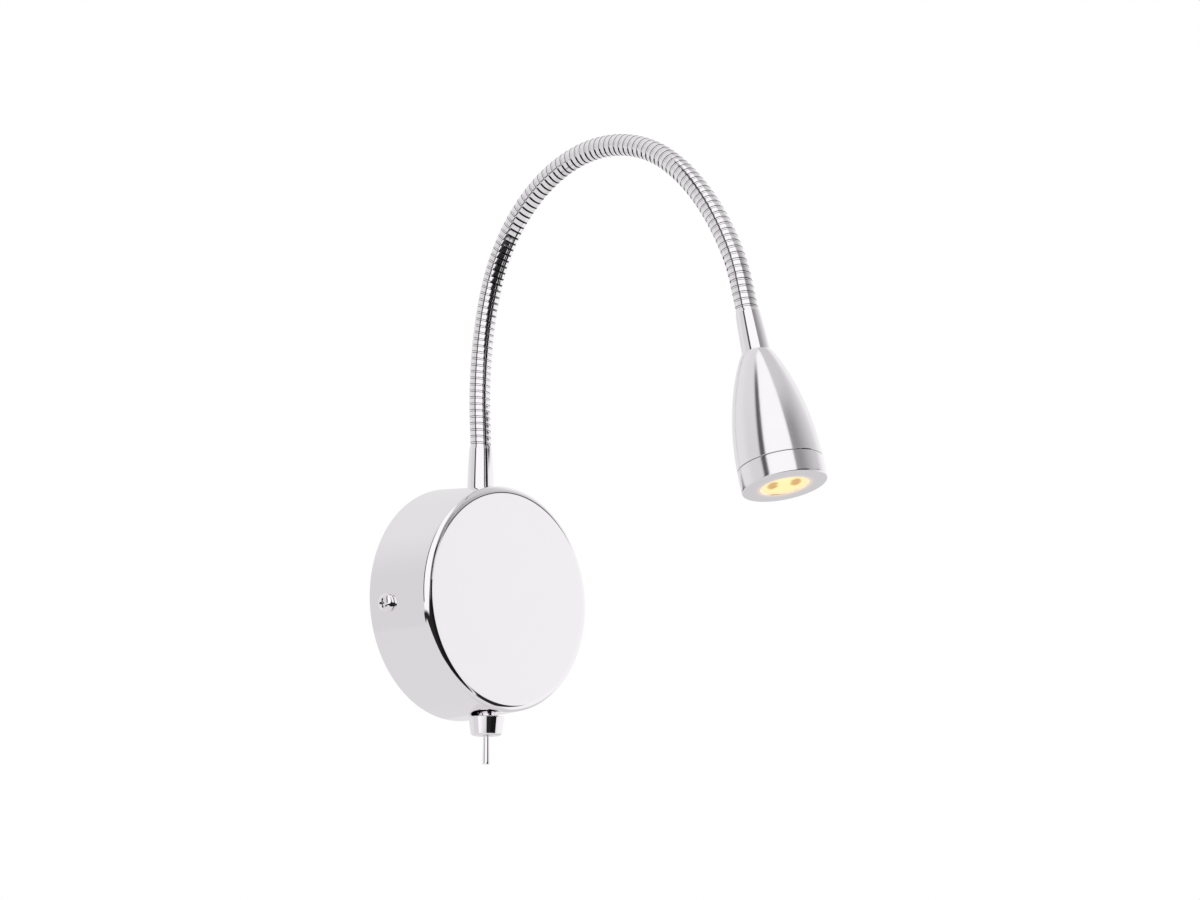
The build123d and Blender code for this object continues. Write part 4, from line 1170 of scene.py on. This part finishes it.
class LAMP_OT_switch(bpy.types.Operator):
    """The toggle switch's dress nut and lever"""

    bl_idname = "lamp.switch"
    bl_label = "Switch"

    def execute(self, context):
        finish = chrome_plate("switch_chrome")
        low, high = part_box("switch_dress_nut")
        outline = nut_outline((high.x - low.x) / 2, high.z - low.z)
        place = place_on((0, middle_y("switch_dress_nut"), high.z), (0, 0, -1))
        nut = make_piece("dress_nut", turned_surface(outline, place, segments=96), finish)
        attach(nut, "base")
        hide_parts("switch_dress_nut")

        lever_low, lever_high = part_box("switch_lever")
        outline = lever_outline(low.z - lever_high.z, low.z - lever_low.z)
        place = place_on((0, middle_y("switch_lever"), low.z), (0, 0, -1))
        lever = make_piece("toggle_lever", turned_surface(outline, place, segments=64), finish)
        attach(lever, "lever")
        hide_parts("switch_lever")
        return {"FINISHED"}


# ---------------------------------------------------------------- the pieces inside
class LAMP_OT_inside(bpy.types.Operator):
    """Finishes for the pieces inside the cover and the head"""

    bl_idname = "lamp.inside"
    bl_label = "Inside pieces"

    def execute(self, context):
        finishes = inside_finishes()
        slots = {part["node"]: part["material_slot"] for part in frame["record"]["subparts"]}
        for node, piece in frame["nodes"].items():
            piece.data.materials.clear()
            piece.data.materials.append(finishes[slots[node]])
        return {"FINISHED"}


# ---------------------------------------------------------------- the stage
class StageSettings(bpy.types.PropertyGroup):
    """Camera and studio."""

    camera_azimuth: bpy.props.FloatProperty(
        name="Azimuth", description="Where the camera stands round the lamp", default=radians(-46.742),
        subtype="ANGLE")
    camera_elevation: bpy.props.FloatProperty(
        name="Elevation", description="How far the camera stands above level", default=radians(-10.346),
        subtype="ANGLE")
    camera_distance: bpy.props.FloatProperty(
        name="Distance", description="From the camera to the cover's plane", default=1.03715, unit="LENGTH")
    camera_right: bpy.props.FloatProperty(
        name="Right", description="The camera's offset to its right", default=0.05472, unit="LENGTH")
    camera_up: bpy.props.FloatProperty(
        name="Up", description="The camera's offset upwards", default=0.05882, unit="LENGTH")
    camera_lens: bpy.props.FloatProperty(
        name="Lens", description="Focal length on a 36 mm film", default=81.83)
    floor_drop: bpy.props.FloatProperty(
        name="Floor", description="How far the floor lies under the lamp", default=0.35, unit="LENGTH")


def camera_axes(stage):
    """The camera's right, up and back directions."""
    around, above = stage.camera_azimuth, stage.camera_elevation
    back = np.array([sin(around) * cos(above), -cos(around) * cos(above), sin(above)])
    right = np.array([cos(around), sin(around), 0])
    return right, np.cross(back, right), back


class LAMP_OT_stage(bpy.types.Operator):
    """Camera, lights, the studio's cards and the floor"""

    bl_idname = "lamp.stage"
    bl_label = "Stage"

    def execute(self, context):
        scene = context.scene
        stage = scene.lamp_stage
        right, up, back = camera_axes(stage)
        data = bpy.data.cameras.new("camera")
        data.lens = stage.camera_lens
        data.sensor_width = 36
        camera = bpy.data.objects.new("camera", data)
        matrix = np.eye(4)
        matrix[:3, 0] = right
        matrix[:3, 1] = up
        matrix[:3, 2] = back
        matrix[:3, 3] = back * stage.camera_distance + right * stage.camera_right + up * stage.camera_up
        camera.matrix_world = Matrix(matrix.tolist())
        scene.collection.objects.link(camera)
        scene.camera = camera
        scene.view_settings.view_transform = "Standard"
        studio_world(scene)
        soft_lamp("key_lamp", (-1.2, -1.5, 1.4), size=1.6, power=22.0)
        soft_lamp("fill_lamp", (1.5, -1.1, 0.6), size=1.6, power=9.0)
        floor_piece(-stage.floor_drop)
        return {"FINISHED"}


def soft_lamp(name, place, size, power):
    """A large soft lamp that faces the lamp's middle; mirrors show the studio's cards instead of it."""
    data = bpy.data.lights.new(name, "AREA")
    data.size = size
    data.energy = power
    lamp = bpy.data.objects.new(name, data)
    axis = np.array(place, float)
    matrix = place_on(place, axis / np.linalg.norm(axis), (0.0, 0.0, 1.0))
    lamp.matrix_world = Matrix(matrix.tolist())
    lamp.visible_glossy = False
    bpy.context.scene.collection.objects.link(lamp)


def floor_piece(height):
    """A pale floor, wide enough for every view: an even grid of 13 lines each way, 6 m to each side."""
    lines = np.linspace(-6, 6, 13)
    x, y = np.meshgrid(lines, lines, indexing="ij")
    points = np.stack([x, y, np.full_like(x, height)], -1).reshape(-1, 3)
    faces, corners = grid_faces(len(lines), len(lines))
    made = Finish("pale_floor")
    speck = made.noise(made.place(), 8.0, 3.0)
    made.set(Base_Color=made.mix(speck, (0.93, 0.93, 0.93, 1), (0.96, 0.96, 0.96, 1)), Roughness=0.8)
    floor = make_piece("floor", (points, faces, corners.astype(float)), made.material)
    floor.visible_glossy = False


CARD_TURN = radians(-(180 + 43.258))                    # turns a direction to its bearing from the camera


def studio_world(scene):
    """The white studio: plain white light, and for mirrors a white front between dark cards.

    A direction's bearing is its angle round the upright, in degrees, from the side that the lamp is
    looked at from, and its height is its angle above level.
    """
    world = bpy.data.worlds.new("studio")
    world.use_nodes = True
    scene.world = world
    made = Nodes(world.node_tree)
    heading = made.add("ShaderNodeTexCoord", output="Generated")
    turned = made.add("ShaderNodeVectorRotate", {"rotation_type": "Z_AXIS"},
                      {"Vector": heading, "Angle": CARD_TURN})
    parts = made.add("ShaderNodeSeparateXYZ", {}, {0: turned})
    x, y, z = [made.beside(parts, output) for output in range(3)]
    bearing = made.add("ShaderNodeMath", {"operation": "ARCTAN2"}, {0: y, 1: x}) * (180 / pi)
    height = made.add("ShaderNodeMath", {"operation": "ARCSINE"}, {0: z}) * (180 / pi)
    light = mirrored_light(made, bearing, height)
    mirrored = made.add("ShaderNodeCombineColor", {}, {0: light, 1: light, 2: light})
    path = made.add("ShaderNodeLightPath")
    glossy = made.beside(path, "Is Glossy Ray")
    camera = made.beside(path, "Is Camera Ray")
    through = made.beside(path, "Is Transmission Ray")
    plain = made.mix(camera + through, (0.86, 0.86, 0.86, 1), (1, 1, 1, 1))
    colour = made.mix(glossy, plain, mirrored)
    shine = made.add("ShaderNodeBackground", {}, {"Color": colour, "Strength": 1.0})
    made.add("ShaderNodeOutputWorld", {}, {"Surface": shine})


def mirrored_light(made, bearing, height):
    """How light the studio is for mirrors, by bearing and height in degrees: one card laid over another."""
    soft = 1.5

    def within(value, low, high):
        """1 from low to high and 0 outside, with edges that are soft by so many degrees each way."""
        return made.above(value, low - soft, low + soft) * (1 - made.above(value, high - soft, high + soft))

    def over(under, mask, value):
        """What is under, with the value where the mask is 1."""
        return under + (value - under) * mask

    # the tent's grey left side, the white front card and the white right side
    level_part = made.add("ShaderNodeMath", {"operation": "ABSOLUTE"}, {0: height})
    near = made.above(bearing, -110, -85)
    left_side = 0.81 - near * (0.09 - 0.045 * made.above(level_part, 15, 40))
    light = over(left_side, made.above(bearing, -56, -54), 1.04)
    right_side = made.ramp(bearing, 84, 100, 0.90, 0.98)
    light = over(light, made.above(bearing, 70, 73), right_side)
    # the ceiling on the right, grey, with a dark lower edge
    ceiling = made.ramp(bearing, 55, 112, 0.31, 0.70)
    ceiling = over(ceiling, made.above(bearing, 112, 138), 0.92)
    ceiling = over(ceiling, made.above(height, 42, 60), 0.64)
    light = over(light, made.above(height, 17, 20) * made.above(bearing, 31, 35), ceiling)
    light = over(light, within(height, 14.5, 24) * within(bearing, 74, 112), 0.08)
    # the floor of the tent, under the front card's dark foot
    foot = made.ramp(bearing, -40, 15, -20, -44)
    top = made.ramp(bearing, 0, 33, -12, 8)
    light = over(light, 1 - made.above(height, foot - 2, foot + 2), 0.75)
    light = over(light, made.above(bearing, 120, 150) * (1 - made.above(height, -18, -12)), 0.66)
    light = over(light, made.above(height, foot - 2, foot + 2) * (1 - made.above(height, top - 2, top + 2))
                 * within(bearing, -75, 47), 0.02)
    # the dark cards over the front card's right side, with a patch of grey, and the one at its left edge
    light = over(light, within(bearing, 33, 71) * within(height, -45, 27), 0.01)
    light = over(light, within(bearing, 33, 47) * within(height, 3, 23), 0.17)
    light = over(light, within(bearing, 75, 101) * within(height, -47, -15), 0.02)
    fading = 1 - made.above(height, 50, 74)
    light = over(light, within(bearing, -58, -44) * made.above(height, -6, -3) * fading, 0.07)
    return light


class LAMP_PT_panel(bpy.types.Panel):
    """The lamp's pieces, in the sidebar"""

    bl_idname = "LAMP_PT_panel"
    bl_label = "Wall reading lamp"
    bl_space_type = "VIEW_3D"
    bl_region_type = "UI"
    bl_category = "Lamp"

    def draw(self, context):
        for group in ("lamp_sizes", "lamp_finishes", "lamp_stage"):
            settings = getattr(context.scene, group)
            for key in type(settings).__annotations__:
                self.layout.prop(settings, key)
        for operator in OPERATORS:
            self.layout.operator(operator.bl_idname)


OPERATORS = (LAMP_OT_cover, LAMP_OT_side_screws, LAMP_OT_ferrules, LAMP_OT_neck, LAMP_OT_head,
             LAMP_OT_lens, LAMP_OT_switch, LAMP_OT_inside, LAMP_OT_stage)
GROUPS = {"lamp_sizes": LampSizes, "lamp_finishes": LampFinishes, "lamp_stage": StageSettings}


def register():
    for name, group in GROUPS.items():
        bpy.utils.register_class(group)
        setattr(bpy.types.Scene, name, bpy.props.PointerProperty(type=group))
    for kind in OPERATORS + (LAMP_PT_panel,):
        bpy.utils.register_class(kind)


def unregister():
    for kind in (LAMP_PT_panel,) + OPERATORS[::-1]:
        bpy.utils.unregister_class(kind)
    for name, group in GROUPS.items():
        delattr(bpy.types.Scene, name)
        bpy.utils.unregister_class(group)


def main():
    register()
    bpy.ops.lamp.cover()
    bpy.ops.lamp.side_screws()
    bpy.ops.lamp.ferrules()
    bpy.ops.lamp.neck()
    bpy.ops.lamp.head()
    bpy.ops.lamp.lens()
    bpy.ops.lamp.switch()
    bpy.ops.lamp.inside()
    bpy.ops.lamp.stage()


if __name__ == "__main__":
    main()
